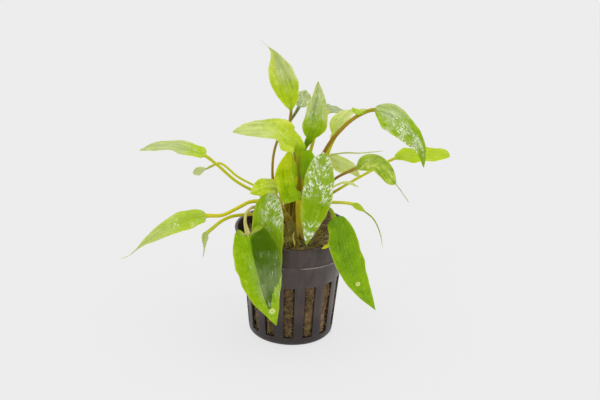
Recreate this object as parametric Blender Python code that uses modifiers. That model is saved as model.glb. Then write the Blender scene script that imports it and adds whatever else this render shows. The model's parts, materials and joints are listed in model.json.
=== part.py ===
"""A potted cryptocoryne: a small water plant in a net pot of rockwool.

The plant is a rosette of stalked, pointed leaves that grow from one short crown.
Some leaves stand up, some arch over, and the largest hang down in front of the pot.
Every leaf is one solid: a round stalk that flattens into a thin blade.

Lengths are metres and +Z is up. The pot stands on Z = 0 with its axis on the Z axis,
and the front of the plant, where the largest leaves hang, faces -Y.
"""

import bpy
import bmesh
from math import cos, pi, radians, sin, sqrt
from mathutils import Matrix, Vector
from mathutils.geometry import interpolate_bezier

MM = 0.001
GAP = 0.3 * MM

# The net pot
POT_HEIGHT = 52 * MM
RIM_RADIUS = 27.0 * MM
COLLAR_HEIGHT = 42 * MM
COLLAR_RADIUS = 25.1 * MM
STEP = 0.5 * MM
SLOT_TOP = 31 * MM
SLOT_TOP_RADIUS = 22.4 * MM
SLOT_BOTTOM = 4.5 * MM
BASE_RADIUS = 19.8 * MM
BASE_ROUND = 2.4 * MM
WALL = 1.3 * MM
FLOOR = 1.6 * MM
LIP_ROUND = 0.5 * MM
SLOT_COUNT = 14
SLOT_WIDTH = 5.1 * MM
SLOT_TURN = radians(-92.2)
CUTTER_DEPTH = 8 * MM
POT_STEPS = 56
FLOOR_SLOT_COUNT = 7
FLOOR_SLOT_WIDTH = 3 * MM
FLOOR_SLOT_START = 6 * MM
FLOOR_SLOT_END = 15 * MM

# The rockwool, whose top slopes up towards +X
WOOL_BOTTOM = FLOOR + GAP
WOOL_TOP = 49.5 * MM
WOOL_SLOPE = 0.13
WOOL_FOOT = 1.4 * MM
WOOL_SIDES = 28
LUMP_HEIGHT = 0.7 * MM
LUMP_X = 3.1 * MM
LUMP_Y = 4.3 * MM

# The crown, a low dome that the leaf stalks stand on
CROWN_AT = Vector((0, -1, 0)) * MM
CROWN_TOP = 56 * MM
CROWN_FALL = 0.09 / MM
CROWN_RADIUS = 7.6 * MM
CROWN_BOTTOM = 44 * MM
SEAT_SPACING = 2.1 * MM
SEAT_LIFT = 0.9 * MM

# The leaves
STALK_RADIUS = 0.7 * MM
STALK_PIECE = 5 * MM
BLADE_THICKNESS = 0.5 * MM
RIB_END = 0.25 * MM
BLADE_STATIONS = (0, 0.05, 0.12, 0.22, 0.34, 0.48, 0.62, 0.76, 0.88)
TAPER = 1.7
QUARTER = sqrt(0.5)

# Colours as linear RGB
BLACK_PLASTIC = (0.055, 0.045, 0.05)
BROWN_WOOL = (0.12, 0.075, 0.028)
BROWN_STEM = (0.13, 0.07, 0.02)
LIGHT_GREEN = (0.42, 0.52, 0.05)
FRESH_GREEN = (0.28, 0.42, 0.02)
DEEP_GREEN = (0.12, 0.25, 0.015)
GREY_GREEN = (0.25, 0.34, 0.12)


def clear_scene():
    for obj in list(bpy.data.objects):
        bpy.data.objects.remove(obj, do_unlink=True)


def new_collection(name):
    collection = bpy.data.collections.new(name)
    bpy.context.scene.collection.children.link(collection)
    return collection


def new_material(name, colour, roughness):
    material = bpy.data.materials.new(name)
    material.use_nodes = True
    shader = material.node_tree.nodes["Principled BSDF"]
    shader.inputs["Base Color"].default_value = (*colour, 1)
    shader.inputs["Roughness"].default_value = roughness
    shader.inputs["Metallic"].default_value = 0
    return material


def new_object(name, mesh, collection, material=None):
    obj = bpy.data.objects.new(name, mesh)
    collection.objects.link(obj)
    if material:
        mesh.materials.append(material)
    return obj


def shade(mesh, angle=35):
    mesh.shade_smooth()
    mesh.set_sharp_from_angle(angle=radians(angle))


# The net pot


def wall_radius(z):
    """Radius of the pot's outer wall at height z."""
    if z < SLOT_TOP:
        share = max(z - BASE_ROUND, 0) / (SLOT_TOP - BASE_ROUND)
        return BASE_RADIUS + share * (SLOT_TOP_RADIUS - BASE_RADIUS)
    if z < COLLAR_HEIGHT:
        share = (z - SLOT_TOP) / (COLLAR_HEIGHT - SLOT_TOP)
        return SLOT_TOP_RADIUS + share * (COLLAR_RADIUS - STEP - SLOT_TOP_RADIUS)
    share = (z - COLLAR_HEIGHT) / (POT_HEIGHT - COLLAR_HEIGHT)
    return COLLAR_RADIUS + share * (RIM_RADIUS - COLLAR_RADIUS)


def pot_profile():
    """Half section of the pot, from the middle of its floor over the rim to the middle of its base."""
    inside = [
        (0, FLOOR),
        (BASE_RADIUS - WALL - BASE_ROUND / 2, FLOOR),
        (BASE_RADIUS - WALL, FLOOR + BASE_ROUND / 2),
        (SLOT_TOP_RADIUS - WALL, SLOT_TOP),
        (COLLAR_RADIUS - STEP - WALL, COLLAR_HEIGHT),
        (RIM_RADIUS - WALL, POT_HEIGHT - LIP_ROUND),
        (RIM_RADIUS - WALL + LIP_ROUND, POT_HEIGHT),
    ]
    outside = [
        (RIM_RADIUS - LIP_ROUND, POT_HEIGHT),
        (RIM_RADIUS, POT_HEIGHT - LIP_ROUND),
        (COLLAR_RADIUS, COLLAR_HEIGHT + STEP),
        (COLLAR_RADIUS - STEP, COLLAR_HEIGHT - STEP),
        (SLOT_TOP_RADIUS, SLOT_TOP),
        (BASE_RADIUS, BASE_ROUND),
        (BASE_RADIUS - 0.3 * BASE_ROUND, 0.3 * BASE_ROUND),
        (BASE_RADIUS - BASE_ROUND, 0),
        (0, 0),
    ]
    return inside + outside


def turned_mesh(name, profile, steps):
    """Turn a profile of (radius, height) pairs once round the Z axis and return the closed mesh."""
    mesh = bpy.data.meshes.new(name)
    edges = [(i, i + 1) for i in range(len(profile) - 1)]
    mesh.from_pydata([(r, 0, z) for r, z in profile], edges, [])
    guide = new_object(name + "_profile", mesh, guides)
    screw = guide.modifiers.new("turn", "SCREW")
    screw.steps = steps
    screw.render_steps = steps
    screw.use_merge_vertices = True
    screw.merge_threshold = 0.00001
    turned = bpy.data.meshes.new_from_object(guide.evaluated_get(bpy.context.evaluated_depsgraph_get()))
    bpy.data.objects.remove(guide, do_unlink=True)
    turned.name = name
    return turned


def slot_cutters():
    """The side slots, narrower towards the base, and the slots in the floor, as one mesh."""
    bm = bmesh.new()
    height = SLOT_TOP - SLOT_BOTTOM
    narrowing = wall_radius(SLOT_BOTTOM) / wall_radius(SLOT_TOP)
    for i in range(SLOT_COUNT):
        turn = Matrix.Rotation(SLOT_TURN + 2 * pi * i / SLOT_COUNT, 4, "Z")
        middle = Vector((wall_radius((SLOT_TOP + SLOT_BOTTOM) / 2) - WALL / 2, 0, SLOT_BOTTOM + height / 2))
        stretch = Matrix.Diagonal((CUTTER_DEPTH / SLOT_WIDTH, 1, 1, 1))
        bmesh.ops.create_cone(
            bm,
            cap_ends=True,
            segments=4,
            radius1=SLOT_WIDTH * narrowing / sqrt(2),
            radius2=SLOT_WIDTH / sqrt(2),
            depth=height,
            matrix=turn @ Matrix.Translation(middle) @ stretch @ Matrix.Rotation(pi / 4, 4, "Z"),
        )
    for i in range(FLOOR_SLOT_COUNT):
        turn = Matrix.Rotation(SLOT_TURN + 2 * pi * i / FLOOR_SLOT_COUNT, 4, "Z")
        middle = Vector(((FLOOR_SLOT_START + FLOOR_SLOT_END) / 2, 0, FLOOR / 2))
        size = Matrix.Diagonal((FLOOR_SLOT_END - FLOOR_SLOT_START, FLOOR_SLOT_WIDTH, 2 * FLOOR, 1))
        bmesh.ops.create_cube(bm, size=1, matrix=turn @ Matrix.Translation(middle) @ size)
    mesh = bpy.data.meshes.new("slot_cutters")
    bm.to_mesh(mesh)
    bm.free()
    return mesh


def build_pot():
    material = new_material("net_pot_plastic", BLACK_PLASTIC, 0.45)
    pot = new_object("net_pot", turned_mesh("net_pot", pot_profile(), POT_STEPS), parts, material)
    cutter = new_object("slot_cutters", slot_cutters(), guides)
    cutter.hide_render = True
    cutter.display_type = "WIRE"
    cut = pot.modifiers.new("slots", "BOOLEAN")
    cut.operation = "DIFFERENCE"
    cut.solver = "EXACT"
    cut.object = cutter
    shade(pot.data)
    return pot


# Shapes skinned over rings of points


def skin_rings(name, rings, start=None, end=None):
    """Close a row of equal rings into one solid, with a point or a flat cap at each end."""
    bm = bmesh.new()
    rows = [[bm.verts.new(point) for point in ring] for ring in rings]
    count = len(rows[0])
    for near, far in zip(rows, rows[1:]):
        for i in range(count):
            j = (i + 1) % count
            bm.faces.new((near[i], near[j], far[j], far[i]))
    for row, point in ((rows[0], start), (rows[-1], end)):
        if point is None:
            bm.faces.new(row)
            continue
        apex = bm.verts.new(point)
        for i in range(count):
            bm.faces.new((row[i], row[(i + 1) % count], apex))
    bmesh.ops.recalc_face_normals(bm, faces=bm.faces)
    mesh = bpy.data.meshes.new(name)
    bm.to_mesh(mesh)
    bm.free()
    shade(mesh, 50)
    return mesh


def circle(centre, radius, z, sides=WOOL_SIDES):
    ring = []
    for i in range(sides):
        turn = 2 * pi * i / sides
        ring.append(Vector((centre.x + radius * cos(turn), centre.y + radius * sin(turn), z)))
    return ring


# The rockwool and the crown


def wool_height(x, y):
    """Height of the rockwool's top, with shallow lumps."""
    lumps = LUMP_HEIGHT * sin(x / LUMP_X + 1) * cos(y / LUMP_Y)
    return WOOL_TOP + WOOL_SLOPE * x + lumps


def build_wool():
    material = new_material("rockwool_fibre", BROWN_WOOL, 0.95)
    clearance = WALL + 2 * GAP
    axis = Vector((0, 0, 0))
    foot = WOOL_BOTTOM + WOOL_FOOT
    rings = [circle(axis, wall_radius(0) - clearance - BASE_ROUND, WOOL_BOTTOM)]
    for z in (foot, SLOT_TOP):
        rings.append(circle(axis, wall_radius(z) - clearance, z))
    for radius in (RIM_RADIUS, 18 * MM, 12 * MM):
        ring = circle(axis, radius, 0)
        for point in ring:
            point.z = wool_height(point.x, point.y)
            if radius == RIM_RADIUS:
                fitted = wall_radius(min(point.z, POT_HEIGHT)) - clearance - GAP
                point.x *= fitted / radius
                point.y *= fitted / radius
        rings.append(ring)
    pit = CROWN_RADIUS + GAP
    rings.append(circle(CROWN_AT, pit, WOOL_TOP + 0.5 * MM))
    rings.append(circle(CROWN_AT, pit, CROWN_BOTTOM - GAP))
    new_object("rockwool", skin_rings("rockwool", rings), parts, material)


def crown_height(radius):
    return CROWN_TOP - CROWN_FALL * radius**2


def build_crown():
    material = new_material("crown_bark", BROWN_STEM, 0.7)
    rings = []
    for radius in (2.5 * MM, 4.8 * MM, 6.6 * MM, CROWN_RADIUS):
        rings.append(circle(CROWN_AT, radius, crown_height(radius), 16))
    rings.append(circle(CROWN_AT, 0.9 * CROWN_RADIUS, CROWN_BOTTOM, 16))
    top = CROWN_AT + Vector((0, 0, CROWN_TOP))
    new_object("crown", skin_rings("crown", rings, start=top), parts, material)


def seat(ring, angle):
    """Where a stalk stands on the crown: the ring counts outwards, the angle turns from +X to +Y."""
    radius = ring * SEAT_SPACING
    turn = radians(angle)
    place = Vector((radius * cos(turn), radius * sin(turn), crown_height(radius) + SEAT_LIFT))
    return CROWN_AT + place


# The leaves


def smooth_path(points, pieces=16):
    """A smooth run of points through the given ones, with the index at which each of them falls."""
    slopes = []
    for i in range(len(points)):
        before = points[max(i - 1, 0)]
        after = points[min(i + 1, len(points) - 1)]
        slopes.append((after - before).normalized())
    path = []
    marks = []
    for i in range(len(points) - 1):
        reach = (points[i + 1] - points[i]).length / 3
        first = points[i] + slopes[i] * reach
        second = points[i + 1] - slopes[i + 1] * reach
        marks.append(len(path))
        path += interpolate_bezier(points[i], first, second, points[i + 1], pieces)[:-1]
    marks.append(len(path))
    path.append(points[-1])
    return path, marks


def along(path, share):
    """The place and the direction at a share, 0 to 1, of a path's length."""
    total = sum((b - a).length for a, b in zip(path, path[1:]))
    left = share * total
    for a, b in zip(path, path[1:]):
        step = (b - a).length
        if left <= step or b is path[-1]:
            return a.lerp(b, min(left / step, 1)), (b - a).normalized()
        left -= step


def outline(share, widest, draw):
    """Half width of a blade, 0 to 1: round at its base, then drawn out to the tip."""
    if share < widest:
        return sqrt(1 - (1 - share / widest) ** 2)
    return (1 - ((share - widest) / (1 - widest)) ** TAPER) ** draw


def section(centre, side, face, halves, lifts, thickness, edge_back):
    """Eight points round a leaf: its right edge, over the upper side to its left edge and back below.

    halves are the widths to the right and left, lifts the angles by which each half is raised,
    thickness the half thicknesses at the middle and half way out, and edge_back an offset of
    the edges, which makes the lobes at a blade's base.
    """
    right = side * cos(lifts[0]) + face * sin(lifts[0])
    left = -side * cos(lifts[1]) + face * sin(lifts[1])
    middle, quarter = thickness
    points = [centre + right * halves[0] + edge_back]
    points.append(centre + right * halves[0] * QUARTER + face * quarter + edge_back / 2)
    points.append(centre + face * middle)
    points.append(centre + left * halves[1] * QUARTER + face * quarter + edge_back / 2)
    points.append(centre + left * halves[1] + edge_back)
    points.append(centre + left * halves[1] * QUARTER - face * quarter + edge_back / 2)
    points.append(centre - face * middle)
    points.append(centre + right * halves[0] * QUARTER - face * quarter + edge_back / 2)
    return points


def stalk_sections(path, face):
    """Round sections from the foot of the stalk up to the neck, where its upper side is face."""
    length = sum((b - a).length for a, b in zip(path, path[1:]))
    count = max(3, round(length / STALK_PIECE))
    places = [along(path, i / count) for i in range(count)]
    direction = along(path, 1)[1]
    rings = []
    for centre, heading in reversed(places):
        face = direction.rotation_difference(heading) @ face
        direction = heading
        thickness = (STALK_RADIUS, STALK_RADIUS * QUARTER)
        side = heading.cross(face)
        rings.append(section(centre, side, face, (STALK_RADIUS,) * 2, (0, 0), thickness, Vector()))
    return rings[::-1]


def leaf(name, colour, foot, stalk, blade, half, face, fold=(10, 10), widest=0.38, draw=1.0, lobe=0.0):
    """A leaf from its foot, through the stalk's and the blade's points, to its tip.

    stalk and blade are points in millimetres, and the blade's first one is its neck. half holds
    the widths right and left of the rib, face the ways that the upper side faces at the neck and
    at the tip, and fold the degrees by which each half rises from flat.
    """
    route = [foot] + [Vector(point) * MM for point in stalk + blade]
    path, marks = smooth_path(route)
    neck = marks[1 + len(stalk)]
    stalk_path = path[: neck + 1]
    blade_path = path[neck:]
    first = Vector(face[0]).normalized()
    last = Vector(face[1]).normalized()
    lifts = [radians(fold[0]), radians(fold[1])]
    rings = []
    for share in BLADE_STATIONS:
        centre, heading = along(blade_path, share)
        side = heading.cross(first.lerp(last, share)).normalized()
        upper = side.cross(heading)
        if not rings:
            rings = stalk_sections(stalk_path, upper)
        width = outline(share, widest, draw)
        halves = [max(STALK_RADIUS, value * MM * width) for value in half]
        rib = STALK_RADIUS + (RIB_END - STALK_RADIUS) * sqrt(share)
        flat = BLADE_THICKNESS / 2 if share else STALK_RADIUS * QUARTER
        lobes = -heading * lobe * MM * max(1 - share / widest, 0) ** 2 if share else Vector()
        rings.append(section(centre, side, upper, halves, lifts, (rib, min(flat, rib)), lobes))
    material = new_material(name + "_skin", colour, 0.4)
    new_object(name, skin_rings(name, rings, end=route[-1]), parts, material)


def build_upper_leaves():
    leaf("leaf_crest", LIGHT_GREEN, seat(1, 150),
         stalk=[(0, 5, 81), (-3, 7, 100)],
         blade=[(-3, 8, 106), (-5, 9, 115), (-8, 8, 125), (-11, 6, 133), (-17, 3, 140)],
         half=(6.8, 6.3), face=((-2, -10, 3), (-1, -10, 5)), fold=(12, 12), widest=0.45, draw=1.5)
    leaf("leaf_crest_back", GREY_GREEN, seat(2, 118),
         stalk=[(-8, 12, 63), (-12, 14, 76), (-9, 14, 89), (-3, 16, 98)],
         blade=[(1, 20, 104), (4, 30, 109)],
         half=(4.4, 4.4), face=((2, -3, 10), (2, -3, 10)))
    leaf("leaf_centre_high", FRESH_GREEN, seat(0, 0),
         stalk=[(5, 1, 75), (4, 0, 90)],
         blade=[(6, -2, 96), (8, -5, 106), (9, -5, 115), (9, -3, 123)],
         half=(6.0, 5.3), face=((2, -10, 2), (0, -10, 3)), fold=(15, 15), widest=0.33)
    leaf("leaf_back_low", GREY_GREEN, seat(1, 90),
         stalk=[(7, 12, 86), (11, 16, 99)],
         blade=[(15, 23, 100), (22, 33, 98)],
         half=(4.2, 4.2), face=((1, -2, 10), (1, -2, 10)))
    leaf("leaf_back_pale", LIGHT_GREEN, seat(1, 30),
         stalk=[(10, 8, 70), (14, 11, 88)],
         blade=[(17, 12, 96), (21, 16, 99), (27, 24, 100), (34, 30, 100)],
         half=(5.6, 5.6), face=((-3, -8, 6), (-2, -5, 10)), widest=0.35, draw=1.3)
    leaf("leaf_high_left", LIGHT_GREEN, seat(2, 270),
         stalk=[(2, -6, 65), (4, -8, 75), (2, -11, 89)],
         blade=[(0, -9, 95), (-4, -11, 99), (-10, -14, 104), (-17, -18, 106), (-27, -24, 106)],
         half=(5.6, 5.6), face=((-5, -6, 8), (-1, -6, 8)), widest=0.4)
    leaf("leaf_high_right", FRESH_GREEN, seat(1, 330),
         stalk=[(7, -1, 74), (14, -4, 93), (21, -7, 104), (27, -6, 109)],
         blade=[(34, -6, 112), (42, -8, 110), (49, -12, 105), (54, -15, 99), (56, -18, 90)],
         half=(6.2, 7.7), face=((0, -5, 8), (6, -6, 5)), fold=(-10, -10), widest=0.27)


def build_side_leaves():
    leaf("leaf_left_high", FRESH_GREEN, seat(2, 179),
         stalk=[(-11, 6, 63), (-27, 10, 71), (-36, 13, 77)],
         blade=[(-42, 14, 81), (-49, 16, 82), (-59, 18, 82), (-73, 18, 80)],
         half=(5.4, 5.4), face=((0, -2, 10), (0, -2, 10)), fold=(6, 6), draw=0.8)
    leaf("leaf_left_back", FRESH_GREEN, seat(2, 149),
         stalk=[(-8, 6, 66), (-19, 12, 69), (-27, 17, 71), (-35, 21, 75), (-39, 21, 74)],
         blade=[(-42, 21, 72), (-47, 20, 70)],
         half=(2.6, 2.6), face=((0, 4, 9), (0, -9, 4)), fold=(5, 5))
    leaf("leaf_left_front", FRESH_GREEN, seat(2, 209),
         stalk=[(-11, -9, 67), (-19, -12, 69), (-25, -15, 67), (-32, -17, 64)],
         blade=[(-39, -18, 64), (-45, -20, 64), (-54, -23, 61), (-63, -26, 56), (-76, -28, 46)],
         half=(5.4, 5.4), face=((0, -5, 9), (-2, -5, 8)), fold=(-8, -8), widest=0.3, draw=2.6)
    leaf("leaf_left_hook", FRESH_GREEN, seat(3, 195),
         stalk=[(-13, -13, 63), (-26, -17, 63)],
         blade=[(-31, -19, 63), (-35, -20, 59), (-38, -21, 56), (-40, -22, 45)],
         half=(3.0, 3.0), face=((-7, 3, 5), (-10, -3, 0)), fold=(8, 8))
    leaf("leaf_left_low", DEEP_GREEN, seat(1, 210),
         stalk=[(-4, -3, 66)],
         blade=[(-8, -2, 71), (-14, -5, 73), (-19, -9, 73)],
         half=(4.8, 4.8), face=((-1, -6, 8), (-1, -6, 8)), fold=(-8, -8), widest=0.45)
    leaf("leaf_far_right", FRESH_GREEN, seat(2, 15),
         stalk=[(11, 8, 61), (23, 13, 68), (36, 19, 74)],
         blade=[(47, 23, 79), (55, 25, 80), (64, 27, 80), (73, 28, 80)],
         half=(7.2, 7.2), face=((0, -2, 10), (2, -2, 10)), fold=(0, 0), widest=0.45, draw=0.45)
    leaf("leaf_right_arch", DEEP_GREEN, seat(2, 323),
         stalk=[(11, -10, 72), (18, -12, 82)],
         blade=[(27, -14, 88), (31, -15, 91), (36, -17, 92), (40, -19, 89), (46, -20, 81), (51, -20, 74)],
         half=(5.6, 5.6), face=((0, -5, 8), (6, -6, 5)), fold=(-10, -10), widest=0.33, draw=2.3)
    leaf("leaf_right_edge_on", FRESH_GREEN, seat(2, 75),
         stalk=[(10, 10, 67)],
         blade=[(15, 13, 82), (21, 14, 84), (30, 15, 84), (41, 16, 85)],
         half=(2.6, 2.6), face=((0, 4, 9), (0, 4, 9)))
    leaf("leaf_right_back", GREY_GREEN, seat(2, 45),
         stalk=[(11, 12, 63)],
         blade=[(15, 18, 80), (21, 19, 78), (27, 20, 75), (31, 20, 70)],
         half=(4.2, 4.2), face=((0, -5, 8), (3, -7, 5)), fold=(-10, -10))
    leaf("leaf_right_droop", FRESH_GREEN, seat(2, 349),
         stalk=[(17, -4, 66), (22, -6, 68)],
         blade=[(29, -9, 68), (35, -11, 63), (39, -12, 57), (41, -13, 48)],
         half=(2.6, 2.6), face=((4, 4, 8), (9, 3, 3)), fold=(5, 5), draw=1.3)
    leaf("leaf_right_small", LIGHT_GREEN, seat(3, 5),
         stalk=[(13, 3, 67)],
         blade=[(21, 6, 72), (25, 7, 72), (30, 7, 70)],
         half=(2.0, 2.0), face=((0, -6, 8), (0, -6, 8)), fold=(5, 5))


def build_front_leaves():
    leaf("leaf_centre", DEEP_GREEN, seat(1, 270),
         stalk=[(4, -2, 70)],
         blade=[(5, -4, 78), (5, -5, 84), (6, -5, 92)],
         half=(4.4, 4.4), face=((2, -10, 2), (2, -10, 5)), draw=0.6)
    leaf("leaf_centre_left", LIGHT_GREEN, Vector((4, -12, 51)) * MM,
         stalk=[(4, -14, 58)],
         blade=[(2, -13, 68), (0, -7, 74), (-1, -4, 82), (-2, -2, 92)],
         half=(2.5, 9.0), face=((-4, -10, 1), (-2, -10, 3)), fold=(-60, 10), widest=0.45, lobe=2.0)
    leaf("leaf_front_wet", FRESH_GREEN, seat(2, 297),
         stalk=[(9, -11, 75), (11, -15, 89)],
         blade=[(12, -20, 94), (11, -26, 90), (10, -32, 81), (8, -35, 71), (6, -36, 59)],
         half=(7.0, 7.0), face=((0, -6, 8), (0, -10, 2)), fold=(-14, -14), widest=0.45)
    leaf("leaf_front_left_upper", FRESH_GREEN, seat(2, 240),
         stalk=[(-6, -9, 64), (-9, -14, 71)],
         blade=[(-10, -19, 76), (-11, -25, 72), (-11, -29, 64), (-10, -32, 52), (-8, -34, 38), (-6, -34, 25)],
         half=(7.0, 7.0), face=((0, -6, 8), (0, -10, 1)), fold=(-10, -10), widest=0.25)
    leaf("leaf_front_left", FRESH_GREEN, seat(3, 225),
         stalk=[(-9, -15, 66), (-16, -20, 70), (-20, -25, 70), (-21, -30, 67)],
         blade=[(-19, -33, 63), (-16, -37, 56), (-14, -39, 47), (-10, -40, 35), (-6, -39, 21)],
         half=(9.6, 9.6), face=((-1, -10, 3), (0, -10, 1)), fold=(-8, -8), widest=0.28, lobe=2.0)
    leaf("young_shoot", LIGHT_GREEN, Vector((11, -18, 52.5)) * MM,
         stalk=[(12, -20, 53)],
         blade=[(13, -21, 53.3), (14, -22, 53.4), (15, -23.5, 53.2)],
         half=(0.9, 0.9), face=((0, -2, 10), (0, -2, 10)), fold=(0, 0))
    leaf("leaf_front_right", FRESH_GREEN, seat(3, 320),
         stalk=[(11, -14, 68), (16, -23, 71)],
         blade=[(18, -28, 69), (21, -31, 64), (23, -33, 57), (29, -34, 42), (38, -33, 27)],
         half=(6.7, 6.7), face=((0, -10, 4), (1, -10, 1)), fold=(-8, -8), widest=0.35, lobe=2.0)


clear_scene()
parts = new_collection("potted_cryptocoryne")
guides = new_collection("cutters")
build_pot()
build_wool()
build_crown()
build_upper_leaves()
build_side_leaves()
build_front_leaves()
bpy.context.view_layer.update()
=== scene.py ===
# %% [markdown]
# # A potted cryptocoryne
#
# A cryptocoryne is a water plant: a rosette of stalked, pointed leaves on one short rootstock.
# This one stands in a small net pot packed with rockwool, fresh out of the water and still wet.
# The lesson dresses a plain model of it, which is loaded here as a fixed frame. Every piece made
# below rides on that frame and stands where the plain piece stood.

# %% Load the frame
import json
from math import ceil, cos, pi, radians, sin

import bpy
from mathutils import Matrix, Vector, noise
from mathutils.geometry import interpolate_bezier

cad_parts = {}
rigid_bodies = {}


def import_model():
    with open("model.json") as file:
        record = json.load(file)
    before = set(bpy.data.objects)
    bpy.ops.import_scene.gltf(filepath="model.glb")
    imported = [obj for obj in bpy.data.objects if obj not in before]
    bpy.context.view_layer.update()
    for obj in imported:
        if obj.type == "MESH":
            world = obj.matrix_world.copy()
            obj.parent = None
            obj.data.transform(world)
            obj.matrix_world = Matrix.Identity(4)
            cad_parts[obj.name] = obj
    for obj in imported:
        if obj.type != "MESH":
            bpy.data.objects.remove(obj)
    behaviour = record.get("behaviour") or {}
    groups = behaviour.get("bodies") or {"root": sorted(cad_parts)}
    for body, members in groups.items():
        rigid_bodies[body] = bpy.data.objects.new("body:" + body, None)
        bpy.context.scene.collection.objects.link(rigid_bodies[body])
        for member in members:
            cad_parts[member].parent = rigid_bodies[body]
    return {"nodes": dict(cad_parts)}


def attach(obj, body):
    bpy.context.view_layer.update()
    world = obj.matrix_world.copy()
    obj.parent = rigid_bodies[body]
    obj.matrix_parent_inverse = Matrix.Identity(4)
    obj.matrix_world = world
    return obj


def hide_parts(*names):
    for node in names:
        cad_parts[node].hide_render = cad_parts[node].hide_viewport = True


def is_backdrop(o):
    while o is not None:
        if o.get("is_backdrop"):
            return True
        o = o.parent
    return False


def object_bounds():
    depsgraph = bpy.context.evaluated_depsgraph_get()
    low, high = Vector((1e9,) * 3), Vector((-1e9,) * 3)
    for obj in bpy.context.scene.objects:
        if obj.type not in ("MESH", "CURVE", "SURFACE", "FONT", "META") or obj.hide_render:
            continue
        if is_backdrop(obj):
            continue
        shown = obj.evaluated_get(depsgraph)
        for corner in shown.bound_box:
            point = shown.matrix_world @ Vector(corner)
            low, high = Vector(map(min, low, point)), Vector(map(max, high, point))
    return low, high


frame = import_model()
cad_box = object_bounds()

MM = 0.001
print("nodes in the frame:", len(frame["nodes"]))

# %% [markdown]
# ## The camera
#
# The photograph looks slightly down on the pot from the front. A long lens keeps the leaves'
# proportions, so the camera stands 60 cm off, and it is rolled a little, because the pot's rim
# slopes in the picture.

# %% Camera
AIM = Vector((2.7, 0, 65.6)) * MM
CAMERA_DISTANCE = 600 * MM
PITCH = radians(22.2)
ROLL = radians(1.8)
LENS = 78.5

forward = Vector((0, cos(PITCH), -sin(PITCH)))
level_up = Vector((0, sin(PITCH), cos(PITCH)))
camera_right = Vector((cos(ROLL), 0, 0)) + level_up * sin(ROLL)
camera_up = camera_right.cross(forward)
camera = bpy.data.objects.new("camera", bpy.data.cameras.new("camera"))
camera.data.lens = LENS
camera.data.clip_start = 10 * MM
turned = Matrix((camera_right, camera_up, -forward)).transposed().to_4x4()
camera.matrix_world = Matrix.Translation(AIM - forward * CAMERA_DISTANCE) @ turned
bpy.context.scene.collection.objects.link(camera)
bpy.context.scene.camera = camera
print("camera at", [round(v, 3) for v in camera.location])

# %% [markdown]
# ## Light and floor
#
# The picture is high-key: pale all round with hardly a shadow. An even white sky does most of the
# work, and the floor glows a little, like a light table. One small bright lamp adds the glints on
# wet leaves, and a very wide one above shapes the pot.

# %% Light and floor
SKY = 0.80
FLOOR_SIZE = 12.0
FLOOR_GREY = 0.14
FLOOR_GLOW = 0.705

scene = bpy.context.scene
scene.world = bpy.data.worlds.new("studio")
scene.world.use_nodes = True
sky = scene.world.node_tree.nodes["Background"]
sky.inputs["Color"].default_value = (1, 1, 1, 1)
sky.inputs["Strength"].default_value = SKY
scene.view_settings.view_transform = "Standard"


def lamp(name, place, width, strength):
    """A far lamp that shines from a place towards the plant; its width in degrees makes it soft."""
    light = bpy.data.lights.new(name, "SUN")
    light.angle = radians(width)
    light.energy = strength
    item = bpy.data.objects.new(name, light)
    item.location = place
    item.rotation_euler = (AIM - Vector(place)).to_track_quat("-Z", "Y").to_euler()
    scene.collection.objects.link(item)


lamp("glint_lamp", place=(-0.25, -0.75, 1.05), width=5.0, strength=0.20)
lamp("soft_lamp", place=(0.2, -0.1, 1.3), width=80.0, strength=0.50)

floor = bpy.data.objects.new("floor", bpy.data.meshes.new("floor"))
half_floor = FLOOR_SIZE / 2
corners = [(x * half_floor, y * half_floor, 0) for x, y in ((-1, -1), (1, -1), (1, 1), (-1, 1))]
floor.data.from_pydata(corners, [], [(0, 1, 2, 3)])
floor_paper = bpy.data.materials.new("floor_paper")
floor_paper.use_nodes = True
paper = floor_paper.node_tree.nodes["Principled BSDF"].inputs
paper["Base Color"].default_value = (FLOOR_GREY, FLOOR_GREY, FLOOR_GREY, 1)
paper["Roughness"].default_value = 0.9
paper["Specular IOR Level"].default_value = 0.0
paper["Emission Color"].default_value = (1, 1, 1, 1)
paper["Emission Strength"].default_value = FLOOR_GLOW
floor.data.materials.append(floor_paper)
scene.collection.objects.link(floor)
floor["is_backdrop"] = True
print("lamps and floor are in place")

# %% [markdown]
# ## Formulas with nodes
#
# Shapes that follow a rule are made by Geometry Nodes and finishes by shader nodes. Both are trees
# of small nodes. To keep them readable, the output of a node is held as a Wire, which can be
# written in a formula: adding two wires adds a node that adds them. An Arrow is a wire that
# carries a vector.

# %% Wires
SOCKETS = {
    "number": "NodeSocketFloat",
    "whole": "NodeSocketInt",
    "vector": "NodeSocketVector",
    "colour": "NodeSocketColor",
    "geometry": "NodeSocketGeometry",
    "material": "NodeSocketMaterial",
}


class Wire:
    """The output of a node, used in formulas as if it were a number."""

    def __init__(self, socket):
        self.socket = socket

    def __add__(self, other):
        return step("ADD", self, other)

    def __sub__(self, other):
        return step("SUBTRACT", self, other)

    def __rsub__(self, other):
        return step("SUBTRACT", other, self)

    def __mul__(self, other):
        return step("MULTIPLY", self, other)

    def __truediv__(self, other):
        return step("DIVIDE", self, other)

    def __rtruediv__(self, other):
        return step("DIVIDE", other, self)

    def __pow__(self, other):
        return step("POWER", self, other)

    def __mod__(self, other):
        return step("MODULO", self, other)

    def __gt__(self, other):
        return step("GREATER_THAN", self, other)

    def __lt__(self, other):
        return step("LESS_THAN", self, other)

    __radd__ = __add__
    __rmul__ = __mul__


class Arrow(Wire):
    """A wire that carries a vector; it can be added to another and multiplied by a number."""

    def __add__(self, other):
        return arrow("ADD", self, other)

    def __sub__(self, other):
        return arrow("SUBTRACT", self, other)

    def __mul__(self, other):
        return arrow("SCALE", self, other)


def tree_of(*values):
    """The tree of the first wire among some values."""
    return next(value.socket.id_data for value in values if isinstance(value, Wire))


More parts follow.
